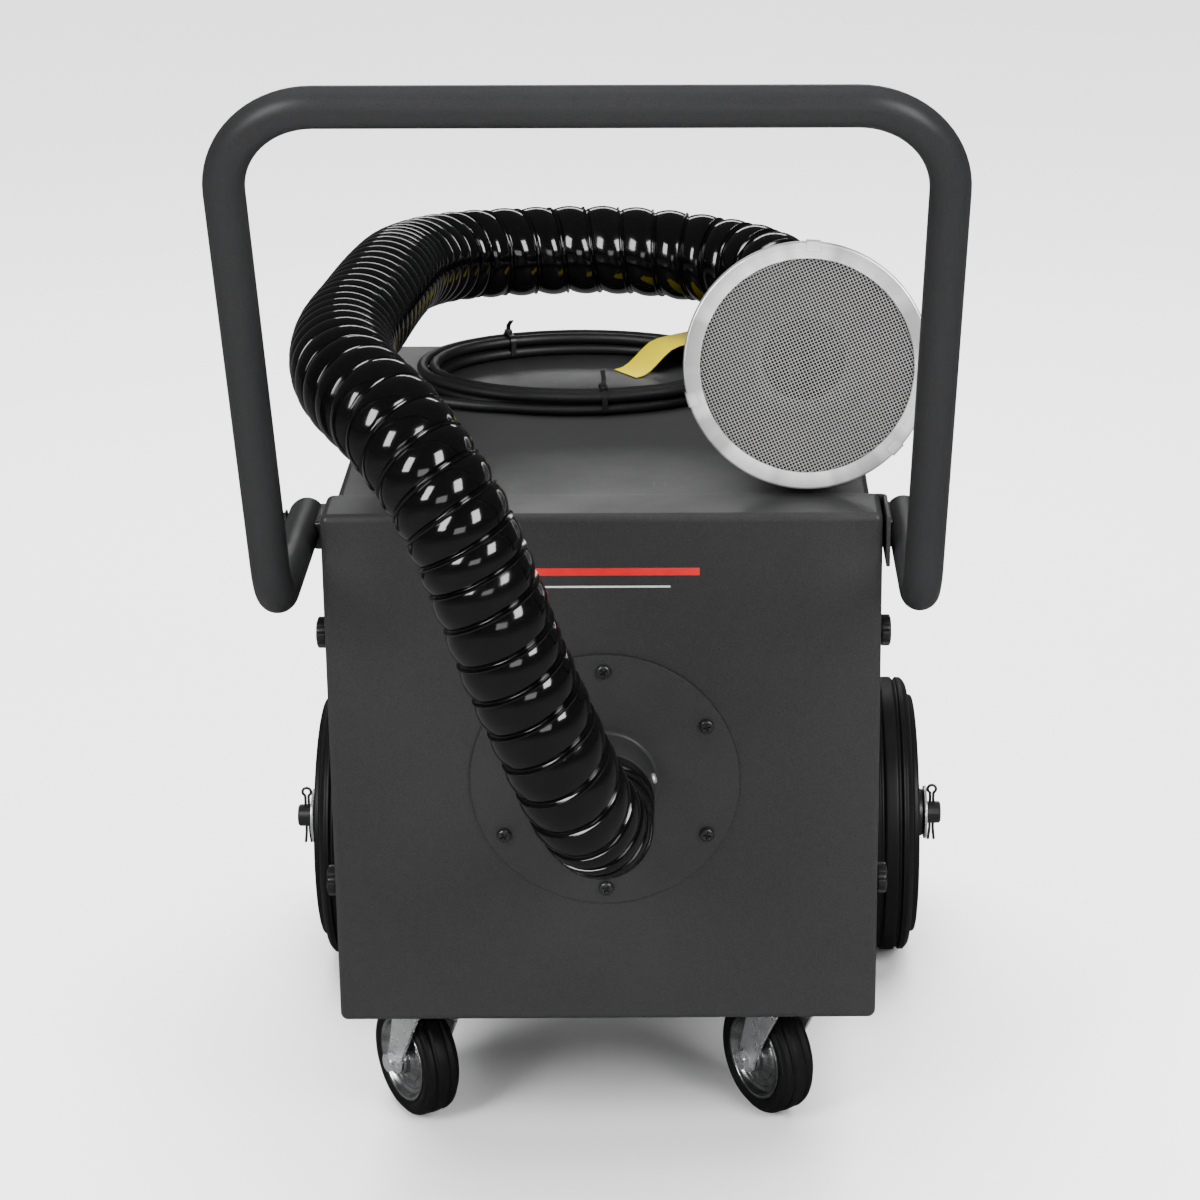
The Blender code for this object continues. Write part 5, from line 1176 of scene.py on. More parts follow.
class FUME_OT_mains_cord(bpy.types.Operator):
    """Lays the mains cord from its gland to the coil on the lid and its plug, with its ties and tag"""

    bl_idname = "fume.mains_cord"
    bl_label = "Mains cord"

    def execute(self, context):
        sizes = context.scene.fume_cord
        points = cord_line(sizes.radius)
        mesh = swept("mains_cord", points, sizes.radius, 20)
        finish = sheath("cord_sheath", tuple(sizes.rubber)), "black_cord"
        cord = piece("mains_cord", mesh, finish, nodes=("cord_tail", "cord_coil"), crease=60)
        on_it = [*self.plug(), self.tie("tie_rear", 120), self.tie("tie_front", -80), self.tag(sizes)]
        self.gland()
        print(f"mains cord: {lengths_along(points)[-1]:.3f} m")
        return {"FINISHED"}

    def gland(self):
        bore, sleeve = 0.0048, 0.0078
        outline = [
            (bore, -0.0094), (0.0085, -0.0094), (0.0085, FIT), (0.0125, FIT), (0.0125, 0.0064), (0.0116, 0.0074),
            (0.0100, 0.0076), (0.0104, 0.0082), (0.0108, 0.0100), (0.0106, 0.0165), (0.0096, 0.0205),
            (0.0079, GLAND_LENGTH - 0.0006), (0.0074, GLAND_LENGTH), (bore, GLAND_LENGTH),
        ]  # fmt: skip
        nut = hexed(0.0107, shank=0.009)

        def shape(radius, height, angle):
            if height <= sleeve:
                return nut(radius, height, angle)
            ridge = 0.5 + 0.5 * math.cos(18 * angle)
            return radius * (1 - 0.025 * ridge) if radius > 0.009 else radius

        where = along((GLAND_X, REAR, GLAND_Z), OUT_BACK)
        spun("cable_gland", outline, where, black_plastic(), 144, shape=shape)

    def plug(self):
        start = from_rear(PLUG_X, PLUG_BEHIND, FIT + PLUG_HEIGHT / 2)
        where = along(start, OUT_BACK)
        if abs((where.to_3x3() @ Vector((1, 0, 0))).z) > 0.5:
            where = where @ Matrix.Rotation(math.pi / 2, 4, "Z")
        nose = [
            (0, 0.0052, 0.0052, 2), (0.0010, 0.0062, 0.0060, 2), (0.0035, 0.0064, 0.0061, 2),
            (0.0040, 0.0056, 0.0054, 2), (0.0052, 0.0056, 0.0054, 2), (0.0057, 0.0068, 0.0064, 2),
            (0.0078, 0.0070, 0.0066, 2), (0.0083, 0.0061, 0.0059, 2), (0.0096, 0.0061, 0.0059, 2),
        ]  # fmt: skip
        grip = [
            (0.0101, 0.0076, 0.0070, 2.2), (0.0130, 0.0125, 0.0088, 2.6), (0.0160, 0.0185, 0.0108, 3),
            (0.0195, 0.0216, 0.0121, 3.6), (0.0240, 0.0226, 0.0127, 4), (0.0330, 0.0228, 0.0129, 4.4),
            (0.0405, 0.0229, 0.0129, 4.6), (0.0430, 0.0225, 0.0125, 4.6), (0.0440, 0.0214, 0.0114, 4.6),
        ]  # fmt: skip
        mesh = lofted("plug_body", [*nose, *grip], where, 64)
        body = piece("plug_body", mesh, black_plastic(), nodes=["plug"], crease=40)
        pins, thin, wide, apart, (start_y, end_y) = [], 0.004, 0.0063, 0.011, (0.040, 0.0607)
        for x, lift, across, tall in ((-apart, 0, wide, thin), (apart, 0, wide, thin), (0, wide, thin, wide)):
            low = start + Vector((x - across / 2, start_y, lift - tall / 2))
            high = start + Vector((x + across / 2, end_y, lift + tall / 2))
            pins.append(rounded_box("pin", low, high, 0.0006, 2))
        metal = plated("pin_metal", (0.62, 0.60, 0.54), 0.22), "zinc_plate"
        return [body, piece("plug_pins", joined("plug_pins", pins), metal, nodes=())]

    def tie(self, name, degrees):
        """A strap pulled round all the turns that pass one place of the coil, with its lock and tail."""
        wide, deep = COIL_HALF
        angle, upright, r = math.radians(degrees), Vector((0, 0, 1)), 0.0052
        out = Vector((wide * math.cos(angle), deep * math.sin(angle), 0))
        side = Vector((-wide * math.sin(angle), deep * math.cos(angle), 0)).normalized().cross(upright)
        if side.dot(out) < 0:
            side = -side
        turns = [(degrees - COIL_START) / 360 % 1 + k for k in range(5)]
        passes = [coil_point(t) for t in turns if t <= 2 * COIL_LAYER]
        base = Vector((passes[0].x, passes[0].y, LID))
        across = [(p - base).dot(side) for p in passes]
        a, b, low, high = min(across) - r, max(across) + r, 0.0004, max(p.z - LID for p in passes) + r
        middle = (0.5 * (a + b), low)
        loop = rounded_path([middle, (b, low), (b, high), (a, high), (a, low), middle], [0.0045] * 4, 8)
        strap = curtain(name, loop, -0.0022, 0.0022, 0.0011)
        ends = (b - 0.0105, high - 0.0006, -0.0029), (b - 0.0052, high + 0.0036, 0.0029)
        lock = rounded_box("lock", *ends, 0.0005, 2)
        start = b - 0.0080
        tail = rounded_path([(start, high), (start, high + 0.0075), (b - 0.0170, high + 0.0140)], [0.006], 6)
        tail = curtain("tail", tail, -0.0019, 0.0019, 0.0010)
        mesh = joined(name, [strap, lock, tail])
        turn = Matrix((side, upright, side.cross(upright))).transposed().to_4x4()
        mesh.transform(Matrix.Translation(base) @ turn)
        return piece(name, outward(mesh, 0), black_plastic(), nodes=(), crease=40)

    def tag(self, sizes):
        """A plain yellow tag folded over a turn of the coil, which lies down to the lid."""
        line = [
            (0.0, 0.0204), (0.010, 0.0207), (0.030, 0.0206), (0.047, 0.0202), (0.056, 0.0182), (0.064, 0.0137),
            (0.071, 0.0087), (0.078, 0.0041), (0.084, 0.0016), (0.088, 0.0009), (0.094, 0.0007),
        ]  # fmt: skip
        sheet = curtain("cord_tag", line, 0.0, 0.031, 0.0005)
        start, run = Vector((0.0748, FRONT + 0.4414, LID)), Vector((-0.788, -0.616, 0)).normalized()
        across, up = Vector((-run.y, run.x, 0)), Vector((0, 0, 1))
        sheet.transform(Matrix.Translation(start) @ Matrix((run, up, across)).transposed().to_4x4())
        finish = paper("plain_yellow_tag", tuple(sizes.tag), 900.0, 0.5), "black_plastic"
        return piece("cord_tag", outward(sheet), finish, nodes=(), crease=60)


class FUME_OT_front_cover(bpy.types.Operator):
    """Folds the front cover, with its knob slots, inlet hole and plain trim line"""

    bl_idname = "fume.front_cover"
    bl_label = "Front cover"

    def execute(self, context):
        sizes, inlet = context.scene.fume_cabinet, context.scene.fume_inlet
        box = low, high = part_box("front_cover")
        shell = folded("front_cover", low, high, [OUT_BACK], sizes.fold, sizes.sheet)
        plug = [(0, -0.01), (inlet.collar_radius, -0.01), (inlet.collar_radius, 0.02), (0, 0.02)]
        hole = turned("inlet_hole", plug, along(at(0, 0, inlet.height), OUT_BACK), 72, ring=False)
        slots = []
        for side, _name in SIDES:
            for height in KNOB_HEIGHTS:
                wall, half, reach = side * COVER_HALF, 0.0033, 0.006
                low_end, high_end = at(wall - reach, 0.0267, height - half), at(wall + reach, 0.07, height + half)
                slots.append(rounded_box("slot", low_end, high_end, edge=0.0032, segments=4))
        shell = cut("front_cover", shell, [hole, *slots])
        piece("front_cover", shell, body_coat("cover", box), "front_cover", crease=28, weighted=True)
        red = moulded("red_trim", tuple(sizes.stripe), 0.5, 0.12), "red_rocker"
        self.line("trim_line", (-0.060, 0.5112), (0.073, 0.5172), red)
        grey = moulded("grey_trim", (0.34, 0.345, 0.35), 0.5, 0.12), "zinc_plate"
        self.line("trim_line_thin", (-0.048, 0.5015), (0.051, 0.5030), grey)
        return {"FINISHED"}

    def line(self, name, low, high, finish):
        """A thin stripe on the cover's face."""
        stripe = rounded_box(name, at(low[0], -0.00022, low[1]), at(high[0], 0.0001, high[1]), 0.0001, 1)
        piece(name, stripe, finish, "front_cover", ())


class FUME_OT_casing(bpy.types.Operator):
    """Folds the casing's wrap and the rear panel"""

    bl_idname = "fume.casing"
    bl_label = "Casing"

    def execute(self, context):
        sizes = context.scene.fume_cabinet
        box = low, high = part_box("casing_wrap")
        low.x, high.x = -CASING_HALF, CASING_HALF
        wrap = folded("casing_wrap", low, high, [OUT_FRONT, OUT_BACK, DOWN], sizes.fold, sizes.sheet)
        rim = soften([(0.0030, 0), (0.007, 0), (0.007, 0.0062), (0.0030, 0.0062)], 0.0005)
        bosses = [
            turned("boss", rim, from_side(side, CASING_HALF - 0.001, KNOB_DEPTH, height), steps=40)
            for side, _name in SIDES
            for height in KNOB_HEIGHTS
        ]
        wrap = joined("casing_wrap", [wrap, *bosses])
        piece("casing_wrap", wrap, body_coat("casing", box), crease=28, weighted=True)
        box = low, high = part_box("rear_panel")
        panel = folded("rear_panel", low, high, [OUT_FRONT], sizes.fold, sizes.sheet)
        grille = rounded_box("grille_hole", at(-0.11, 0.4, 0.24), at(0.11, 0.5, 0.42), 0.002, 2)
        switch = rounded_box("switch_hole", at(0.107, 0.4, 0.49), at(0.133, 0.5, 0.51), 0.001, 2)
        plug = [(0, -0.02), (0.0088, -0.02), (0.0088, 0.02), (0, 0.02)]
        gland = turned("gland_hole", plug, along(at(GLAND_X, 0.46, GLAND_Z), OUT_BACK), 40, ring=False)
        panel = cut("rear_panel", panel, [grille, switch, gland])
        piece("rear_panel", panel, body_coat("rear", box), crease=28, weighted=True)
        dress(body_coat("pan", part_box("base_pan"))[0], "base_pan")
        return {"FINISHED"}


class FUME_OT_inlet(bpy.types.Operator):
    """Turns the inlet flange and its collar, with the screws round it and the clamp screw"""

    bl_idname = "fume.inlet"
    bl_label = "Inlet flange"

    def execute(self, context):
        sizes = context.scene.fume_inlet
        where = along(at(0, 0, sizes.height), OUT_FRONT)
        collar, flange, fillet = sizes.collar_radius, sizes.flange_radius, 0.003
        bore = collar - sizes.collar_wall
        face, tip = FIT + sizes.flange_sheet, FIT + sizes.collar_length
        turns = np.linspace(0, math.pi / 2, 6)
        root = [(collar + fillet * (1 - math.sin(t)), face + fillet * (1 - math.cos(t))) for t in turns]
        outline = [(bore, FIT), (flange, FIT), (flange, face), *root, (collar, tip), (bore, tip)]
        spun("inlet_flange", soften(outline, 0.0006, 3), where, body_coat("flange"), 128, "front_cover", crease=30)
        self.screws(sizes, where)
        self.clamp_screw(sizes)
        return {"FINISHED"}

    def screws(self, sizes, where):
        nodes = [f"flange_screw_{k + 1}" for k in range(sizes.screw_count)]
        screw = pan_screw("flange_screw", sizes.head_radius, sizes.head_height, shank=0.002, reach=0.011)
        turns = [math.pi / 2 - math.tau * k / sizes.screw_count for k in range(sizes.screw_count)]
        lift = Matrix.Translation((sizes.screw_circle, 0, 0.0026))
        places = [where @ Matrix.Rotation(t, 4, "Z") @ lift @ Matrix.Rotation(2.4 * t, 4, "Z") for t in turns]
        copied("flange_screws", screw, places, blackened(), "front_cover", nodes)

    def clamp_screw(self, sizes):
        turn = math.radians(15)
        out = Vector((math.cos(turn), 0, math.sin(turn)))
        start = at(0, -0.021, sizes.height) + out * (sizes.collar_radius - 0.0004)
        screw = pan_screw("clamp_screw", 0.0042, 0.0026, shank=0.0018, reach=0.001)
        screw.transform(along(start, out))
        piece("clamp_screw", screw, zinc(), "front_cover", ())


class FUME_OT_hose_arm(bpy.types.Operator):
    """Winds the ribbed hose arm from the collar over the lid to the nozzle"""

    bl_idname = "fume.hose_arm"
    bl_label = "Hose arm"

    def execute(self, context):
        sizes, inlet = context.scene.fume_hose, context.scene.fume_inlet
        line = hose_line(sizes.straight, inlet.height)
        steps, before, after = 8, 3, 5
        guide, ribs = self.guide(line, sizes, inlet, steps, before, after)
        outline = plain_mesh("rib_outline", [(share, height, 0) for share, height in RIB_OUTLINE])
        finish = vinyl("wet_black_vinyl", tuple(sizes.vinyl)), "glossy_black_hose"
        values = {
            "Line": guide, "Ribs": ribs, "Rows per rib": len(RIB_OUTLINE), "Steps per rib": steps,
            "Sides": sizes.sides, "Inset": sizes.inset, "Bore": HOSE_BORE, "Material": finish[0],
        }  # fmt: skip
        wall = grown("hose_wall", outline, wound_wall_group("Wound wall"), values)
        bpy.data.objects.remove(guide)
        print(f"hose: {lengths_along(line)[-1]:.3f} m, {ribs - before - after} ribs, {len(wall.polygons)} faces")
        piece("hose_wall", outward(wall, 0), finish, "front_cover", ["hose"], crease=62)
        return {"FINISHED"}

    def guide(self, line, sizes, inlet, steps, before, after):
        """The hose's middle line as a row of points, a fixed number for each rib, with its own axes and radius."""
        reach = lengths_along(line)
        total = reach[-1]
        first, last = sizes.straight / 2, total - sizes.straight / 2
        ends = [first]
        while True:
            share = (ends[-1] - first) / (last - first)
            pitch = next(p for end, p in HOSE_STRETCH if share <= end)
            if ends[-1] + pitch > last:
                break
            ends.append(ends[-1] + pitch)
        lengths = np.linspace(0, first, before * steps, endpoint=False).tolist()
        for a, b in zip(ends, ends[1:]):
            lengths += np.linspace(a, b, steps, endpoint=False).tolist()
        wound = np.zeros(len(lengths) + after * steps + 1)
        wound[before * steps : len(lengths)] = 1
        lengths = np.array([*lengths, *np.linspace(ends[-1], total + BALL_HALF, after * steps + 1)])
        points = read_at(line, reach, lengths) + np.maximum(0, lengths - total)[:, None] * np.array(FACING)
        across, up = carried_axes(points)
        radii = np.full(len(lengths), sizes.radius)
        radii[lengths < first] = inlet.collar_radius - inlet.collar_wall - 2 * FIT
        radii[(lengths > total - 3 * BALL_HALF) & (lengths <= total - BALL_HALF)] = BALL_NECK
        ball = lengths > total - BALL_HALF
        radii[ball] = np.sqrt(BALL_RADIUS**2 - (lengths[ball] - total) ** 2)
        radii[0] = radii[-1] = HOSE_BORE
        mesh = plain_mesh("hose_guide", points)
        for key, values in (("across", across), ("up", up), ("reach", radii), ("ribbed", wound)):
            kind, field = ("FLOAT_VECTOR", "vector") if values.ndim > 1 else ("FLOAT", "value")
            layer = mesh.attributes.new(key, kind, "POINT")
            layer.data.foreach_set(field, np.asarray(values, np.float32).ravel())
        return in_scene("hose_guide", mesh), (len(lengths) - 1) // steps


class FUME_OT_nozzle(bpy.types.Operator):
    """Makes the nozzle: bright ring with its tabs, woven mesh, cone and cuff"""

    bl_idname = "fume.nozzle"
    bl_label = "Nozzle"

    def execute(self, context):
        sizes = context.scene.fume_nozzle
        where = along(NOZZLE_FACE, FACING)
        self.ring(sizes, where)
        finish = plated("woven_wire", (0.74, 0.74, 0.73), 0.3, 900.0), "brushed_steel"
        reach, behind, turn = 0.0858, 0.0024, math.radians(24)
        values = {"Radius": reach, "Pitch": sizes.pitch, "Wire": sizes.wire, "Material": finish[0]}
        mesh = grown("woven_mesh", plain_mesh("none", []), woven_group("Woven wires"), values)
        mesh.transform(where @ Matrix.Translation((0, 0, -behind)) @ Matrix.Rotation(turn, 4, "Z"))
        print(f"woven mesh: {len(mesh.polygons)} faces")
        piece("woven_mesh", outward(mesh, 0), finish, "nozzle_head", ["guard_mesh"], crease=50)
        self.cone(where)
        dress(black_plastic()[0], "nozzle_cuff")
        return {"FINISHED"}

    def ring(self, sizes, where):
        """A flat ring with a tight rolled edge and a skirt, held by three bent tabs."""
        finish = brushed("ring_steel", tuple(sizes.steel), NOZZLE_FACE, FACING, 0.3, 0.85), "brushed_steel"
        sheet, outer, bore, bend = 0.0012, sizes.radius, sizes.bore, 0.0018
        turns, middle = np.linspace(0, math.pi / 2, 7), outer - bend
        outside = [(middle + bend * math.sin(t), bend * math.cos(t) - bend) for t in turns]
        inner = bend - sheet
        inside = [(middle + inner * math.sin(t), inner * math.cos(t) - bend) for t in turns[::-1]]
        outline = [
            (bore, -sheet), (bore, -0.0004), (bore + 0.0004, 0), *outside, (outer, -sizes.skirt),
            (outer - sheet, -sizes.skirt), *inside, (bore + 0.0012, -sheet),
        ]  # fmt: skip
        spun("guard_ring", outline, where, finish, 160, "nozzle_head")
        over = outer + 0.0006
        tab = rounded_path([(outer - 0.0075, 0.0004), (over, 0.0004), (over, -0.0125)], [0.0016], 6)
        tab = curtain("tab", tab, -0.0055, 0.0055, 0.0008)
        tab = through("tab", tab, "BEVEL", width=0.0002, segments=1, limit_method="ANGLE")
        tab.transform(Matrix(((1, 0, 0, 0), (0, 0, -1, 0), (0, 1, 0, 0), (0, 0, 0, 1))))
        right = self.to_right(where)
        places = [where @ Matrix.Rotation(right * math.radians(a), 4, "Z") for a in TAB_ANGLES]
        copied("ring_tabs", tab, places, finish, "nozzle_head", crease=40)

    def to_right(self, where):
        """Which way angles run round the placement, seen from the front. Its X axis has to be level."""
        axis, up = (where.to_3x3() @ Vector(way) for way in ((1, 0, 0), (0, 1, 0)))
        if axis.x < 0.5:
            raise RuntimeError("the nozzle's placement isn't level")
        return 1 if up.z > 0 else -1

    def cone(self, where):
        wall, rim, mouth, neck = 0.0012, 0.0919, -0.0048, 0.034
        outline = [
            (rim, mouth), (rim, -0.0152), (0.041, -0.066), (neck, -0.0664), (neck, -0.075), (neck - wall, -0.075),
            (neck - wall, -0.0652), (0.0405, -0.0645), (rim - wall, -0.0146), (rim - wall, mouth),
        ]  # fmt: skip
        finish = moulded("black_plastic_cone", (0.0050, 0.0050, 0.0053), 0.4), "black_plastic"
        spun("nozzle_cone", soften(outline, 0.0012, 3), where, finish, 128, "nozzle_head")


class FUME_OT_knobs(bpy.types.Operator):
    """Makes the four lobed knobs and the catch plate"""

    bl_idname = "fume.knobs"
    bl_label = "Knobs and catch"

    def execute(self, context):
        sizes = context.scene.fume_knobs
        outline, shape = self.outline(sizes), self.lobed(sizes)
        for side, side_name in SIDES:
            for height, height_name in zip(KNOB_HEIGHTS, ("lower", "upper")):
                name = f"cover_knob_{side_name}_{height_name}"
                where = from_side(side, COVER_HALF + FIT, KNOB_DEPTH, height)
                spun(name, outline, where, black_plastic(), 144, body=name, crease=40, ring=False, shape=shape)
        self.catch()
        return {"FINISHED"}

    def catch(self):
        """A bent plate beside the cover's upper right edge."""
        box = low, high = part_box("cover_catch")
        half = 0.0015
        x, y = high.x - half, high.y - half
        line = rounded_path([(x, low.y), (x, y), (low.x, y)], [0.0032], 7)
        plate = curtain("cover_catch", line, low.z, high.z, 2 * half)
        plate = through("cover_catch", plate, "BEVEL", width=0.0005, segments=2, limit_method="ANGLE")
        piece("cover_catch", outward(plate), body_coat("catch", box))

    def outline(self, sizes):
        r, t = sizes.radius, sizes.thickness
        side = [
            (0.0030, -sizes.stem), (0.0030, 0), (0.0085, 0), (r, 0.0012), (r, t - 0.0012), (r - 0.0030, t),
            (0.0052, t - 0.0002), (0.0046, t - 0.0012),
        ]  # fmt: skip
        return [(0, -sizes.stem), *soften(side, 0.0010, 4, closed=False), (0, t - 0.0014)]

    def lobed(self, sizes):
        flute, middle, core = 0.0035, 0.01317, 0.0075
        lobe = math.tau / sizes.lobes

        def shape(radius, height, angle):
            off = ((angle / lobe) % 1 - 0.5) * lobe
            reach = flute**2 - (middle * math.sin(off)) ** 2
            if radius < core or reach <= 0:
                return radius
            edge = middle * math.cos(off) - math.sqrt(reach)
            return min(radius, edge - (sizes.radius - radius) * 0.6)

        return shape


class FUME_OT_handle(bpy.types.Operator):
    """Bends the push handle from one tube and fixes it with its blocks and bolts"""

    bl_idname = "fume.handle"
    bl_label = "Handle"

    def execute(self, context):
        sizes = context.scene.fume_handle
        low, top = LID - sizes.drop, LID + sizes.top_rise
        half, top_half = sizes.spacing / 2, sizes.top_spacing / 2
        left = [at(-half, 0.107, low), at(-half, -0.0965, low), at(-top_half, -0.2137, top)]
        right = [Vector((-p.x, p.y, p.z)) for p in reversed(left)]
        path = rounded_path([*left, *right], (sizes.elbow, sizes.corner, sizes.corner, sizes.elbow), 18)
        finish = coat("satin_tube_coat", tuple(sizes.coat), 0.42, specular=0.15), "black_tube_coat"
        piece("handle_tube", swept("handle_tube", path, sizes.radius, 40), finish, crease=45)
        for side, name in SIDES:
            self.block(side, "handle_saddle_" + name, low, half, sizes.radius)
            self.bolts(side, name, low, half + sizes.radius)
        return {"FINISHED"}

    def block(self, side, name, middle, half, radius):
        """A moulded block between the casing and the tube, hollowed to the tube's round."""
        (left, right), tall = sorted((side * 0.2033, side * 0.221)), 0.022
        low, high = at(left, 0.054, middle - tall / 2), at(right, 0.100, middle + tall / 2)
        body = rounded_box("block", low, high, edge=0.0016)
        tube = swept("tube", [at(side * half, depth, middle) for depth in (0.03, 0.12)], radius + 2 * FIT, 48)
        piece(name, cut(name, body, [tube]), black_plastic())

    def bolts(self, side, name, middle, face):
        """Two hex bolts with washers, right through the tube, the block and the casing's wall."""
        end = 0.196 - face
        nut = [
            (0, end), (0.0026, end), (0.0030, end + 0.0004), (0.0030, end + 0.0012), (0.0056, end + 0.0012),
            (0.0058, end + 0.0016), (0.0058, end + 0.0046), (0.0056, end + 0.0050), (0.0030, end + 0.0050),
        ]  # fmt: skip
        head = [
            (0.0030, 0), (0.0078, 0), (0.0080, 0.0002), (0.0080, 0.0010), (0.0078, 0.0012), (0.0056, 0.0012),
            (0.0064, 0.0014), (0.0064, 0.0046), (0.0056, 0.0055), (0.0040, 0.0058), (0, 0.0058),
        ]  # fmt: skip
        bolt = turned("bolt", [*nut, *head], steps=72, ring=False, shape=hexed(0.0053, shank=0.0032, free=0.0070))
        places = [from_side(side, face, depth, middle) for depth in (0.062, 0.092)]
        nodes = [f"handle_bolt_{name}_{place}" for place in ("front", "rear")]
        copied("handle_bolts_" + name, bolt, places, blackened(), nodes=nodes)


class FUME_OT_rear_wheels(bpy.types.Operator):
    """Makes the two large rear wheels on their axle, with washers and split pins"""

    bl_idname = "fume.rear_wheels"
    bl_label = "Rear wheels"

    def execute(self, context):
        sizes = context.scene.fume_wheels
        low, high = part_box("rear_axle")
        middle = (low + high) / 2
        for side, name in SIDES:
            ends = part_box(f"rear_tyre_{name}")
            where = along(((ends[0].x + ends[1].x) / 2, middle.y, middle.z), (side, 0, 0))
            body, outline = f"rear_wheel_{name}", self.tyre(sizes, middle.z - 0.0002)
            spun(f"rear_tyre_{name}", outline, where, tyre_rubber(), 144, body)
            self.hub(sizes, where, body, "rear_hub_" + name)
            ring = soften([(0.0105, 0), (0.024, 0), (0.024, 0.0025), (0.0105, 0.0025)], 0.0005, 3)
            outside = along((side * 0.2773, middle.y, middle.z), (side, 0, 0))
            spun("axle_washer_" + name, ring, outside, zinc(), 80)
            self.split_pin(side, "split_pin_" + name, middle)
        half, edge, axle = high.x, 0.0014, sizes.axle
        end = [(0, half), (axle - edge, half), (axle, half - edge)]
        axle_line = along(middle, (1, 0, 0))
        spun("rear_axle", both_faces(end)[::-1], axle_line, blackened("zinc_plate"), 48, ring=False)
        return {"FINISHED"}

    def tyre(self, sizes, radius):
        half, groove = sizes.width / 2, radius - 0.0024
        wall = [
            (sizes.rim + 0.0003, 0.8), (0.0950, 0.86), (0.0958, 0.93), (0.1000, 0.985), (0.1048, 1), (0.1072, 0.97),
            (0.1080, 0.80), (0.1105, 0.77), (0.1180, 0.745), (0.1212, 0.66), (0.1236, 0.56),
        ]  # fmt: skip
        tread = [
            (radius - 0.0004, 0.47), (radius, 0.40), (groove, 0.35), (groove, 0.27), (radius, 0.22), (radius, 0.05),
        ]  # fmt: skip
        return soften(both_faces([(r, half * share) for r, share in (*wall, *tread)]), 0.0016, 3)

    def hub(self, sizes, where, body, name):
        """A moulded wheel centre: hub, web, rim and the ribs between them on both faces."""
        half, hub = sizes.hub_width / 2, sizes.hub
        side = [
            (0.0106, half - 0.0008), (0.0114, half), (hub - 0.0022, half), (hub - 0.0006, half - 0.0016),
            (hub + 0.0010, 0.0085), (hub + 0.0050, 0.0063), (0.0760, 0.0063), (0.0795, 0.0090), (0.0815, 0.0185),
            (0.0830, 0.0205), (0.0895, 0.0205), (0.0912, 0.0195),
        ]  # fmt: skip
        disc = turned("disc", soften(both_faces(side), 0.0008, 3), where, 120)
        turns = [Matrix.Rotation(math.tau * k / sizes.spokes, 4, "Z") for k in range(sizes.spokes)]
        places = [where @ Matrix.Rotation(face, 4, "X") @ turn for face in (0, math.pi) for turn in turns]
        ribs = copies("ribs", self.rib(hub), places)
        piece(name, outward(joined(name, [disc, ribs]), 0), black_plastic(), body)

    def rib(self, hub):
        """One rib, high at the hub and low at the rim."""
        low = [(hub - 0.001, 0.004), (0.081, 0.004), (0.081, 0.0172), (hub - 0.001, 0.0300)]
        points = [(x, y, z) for y in (-0.0016, 0.0016) for x, z in low]
        faces = [(0, 1, 2, 3), (7, 6, 5, 4)] + [(k, (k + 1) % 4, (k + 1) % 4 + 4, k + 4) for k in range(4)]
        mesh = outward(plain_mesh("rib", points, faces))
        return through("rib", mesh, "BEVEL", width=0.0006, segments=2, limit_method="NONE")

    def split_pin(self, side, name, middle):
        """A wire folded on itself: an eye over the axle, two legs through it and their ends spread."""
        wire, eye, half = 0.0013, 0.0038, 0.0268
        place = Vector((side * 0.2849, middle.y, middle.z))
        top = half - eye
        leg = [(0.0027, -half), (0.0020, 0.006 - half), (0.0015, 0.013 - half), (0.0015, 0), (0.0015, top - 0.006),
               (0.0019, top - 0.0034)]  # fmt: skip
        loop = [(eye * math.sin(t), top - eye * math.cos(t)) for t in np.linspace(0.55, math.tau - 0.55, 15)]
        path = [place + Vector((x, 0, z)) for x, z in [*leg, *loop, *[(-x, z) for x, z in reversed(leg)]]]
        pin = swept(name, smooth_line(path, 0.0007), wire, 12)
        piece(name, pin, blackened("zinc_plate"), crease=60)


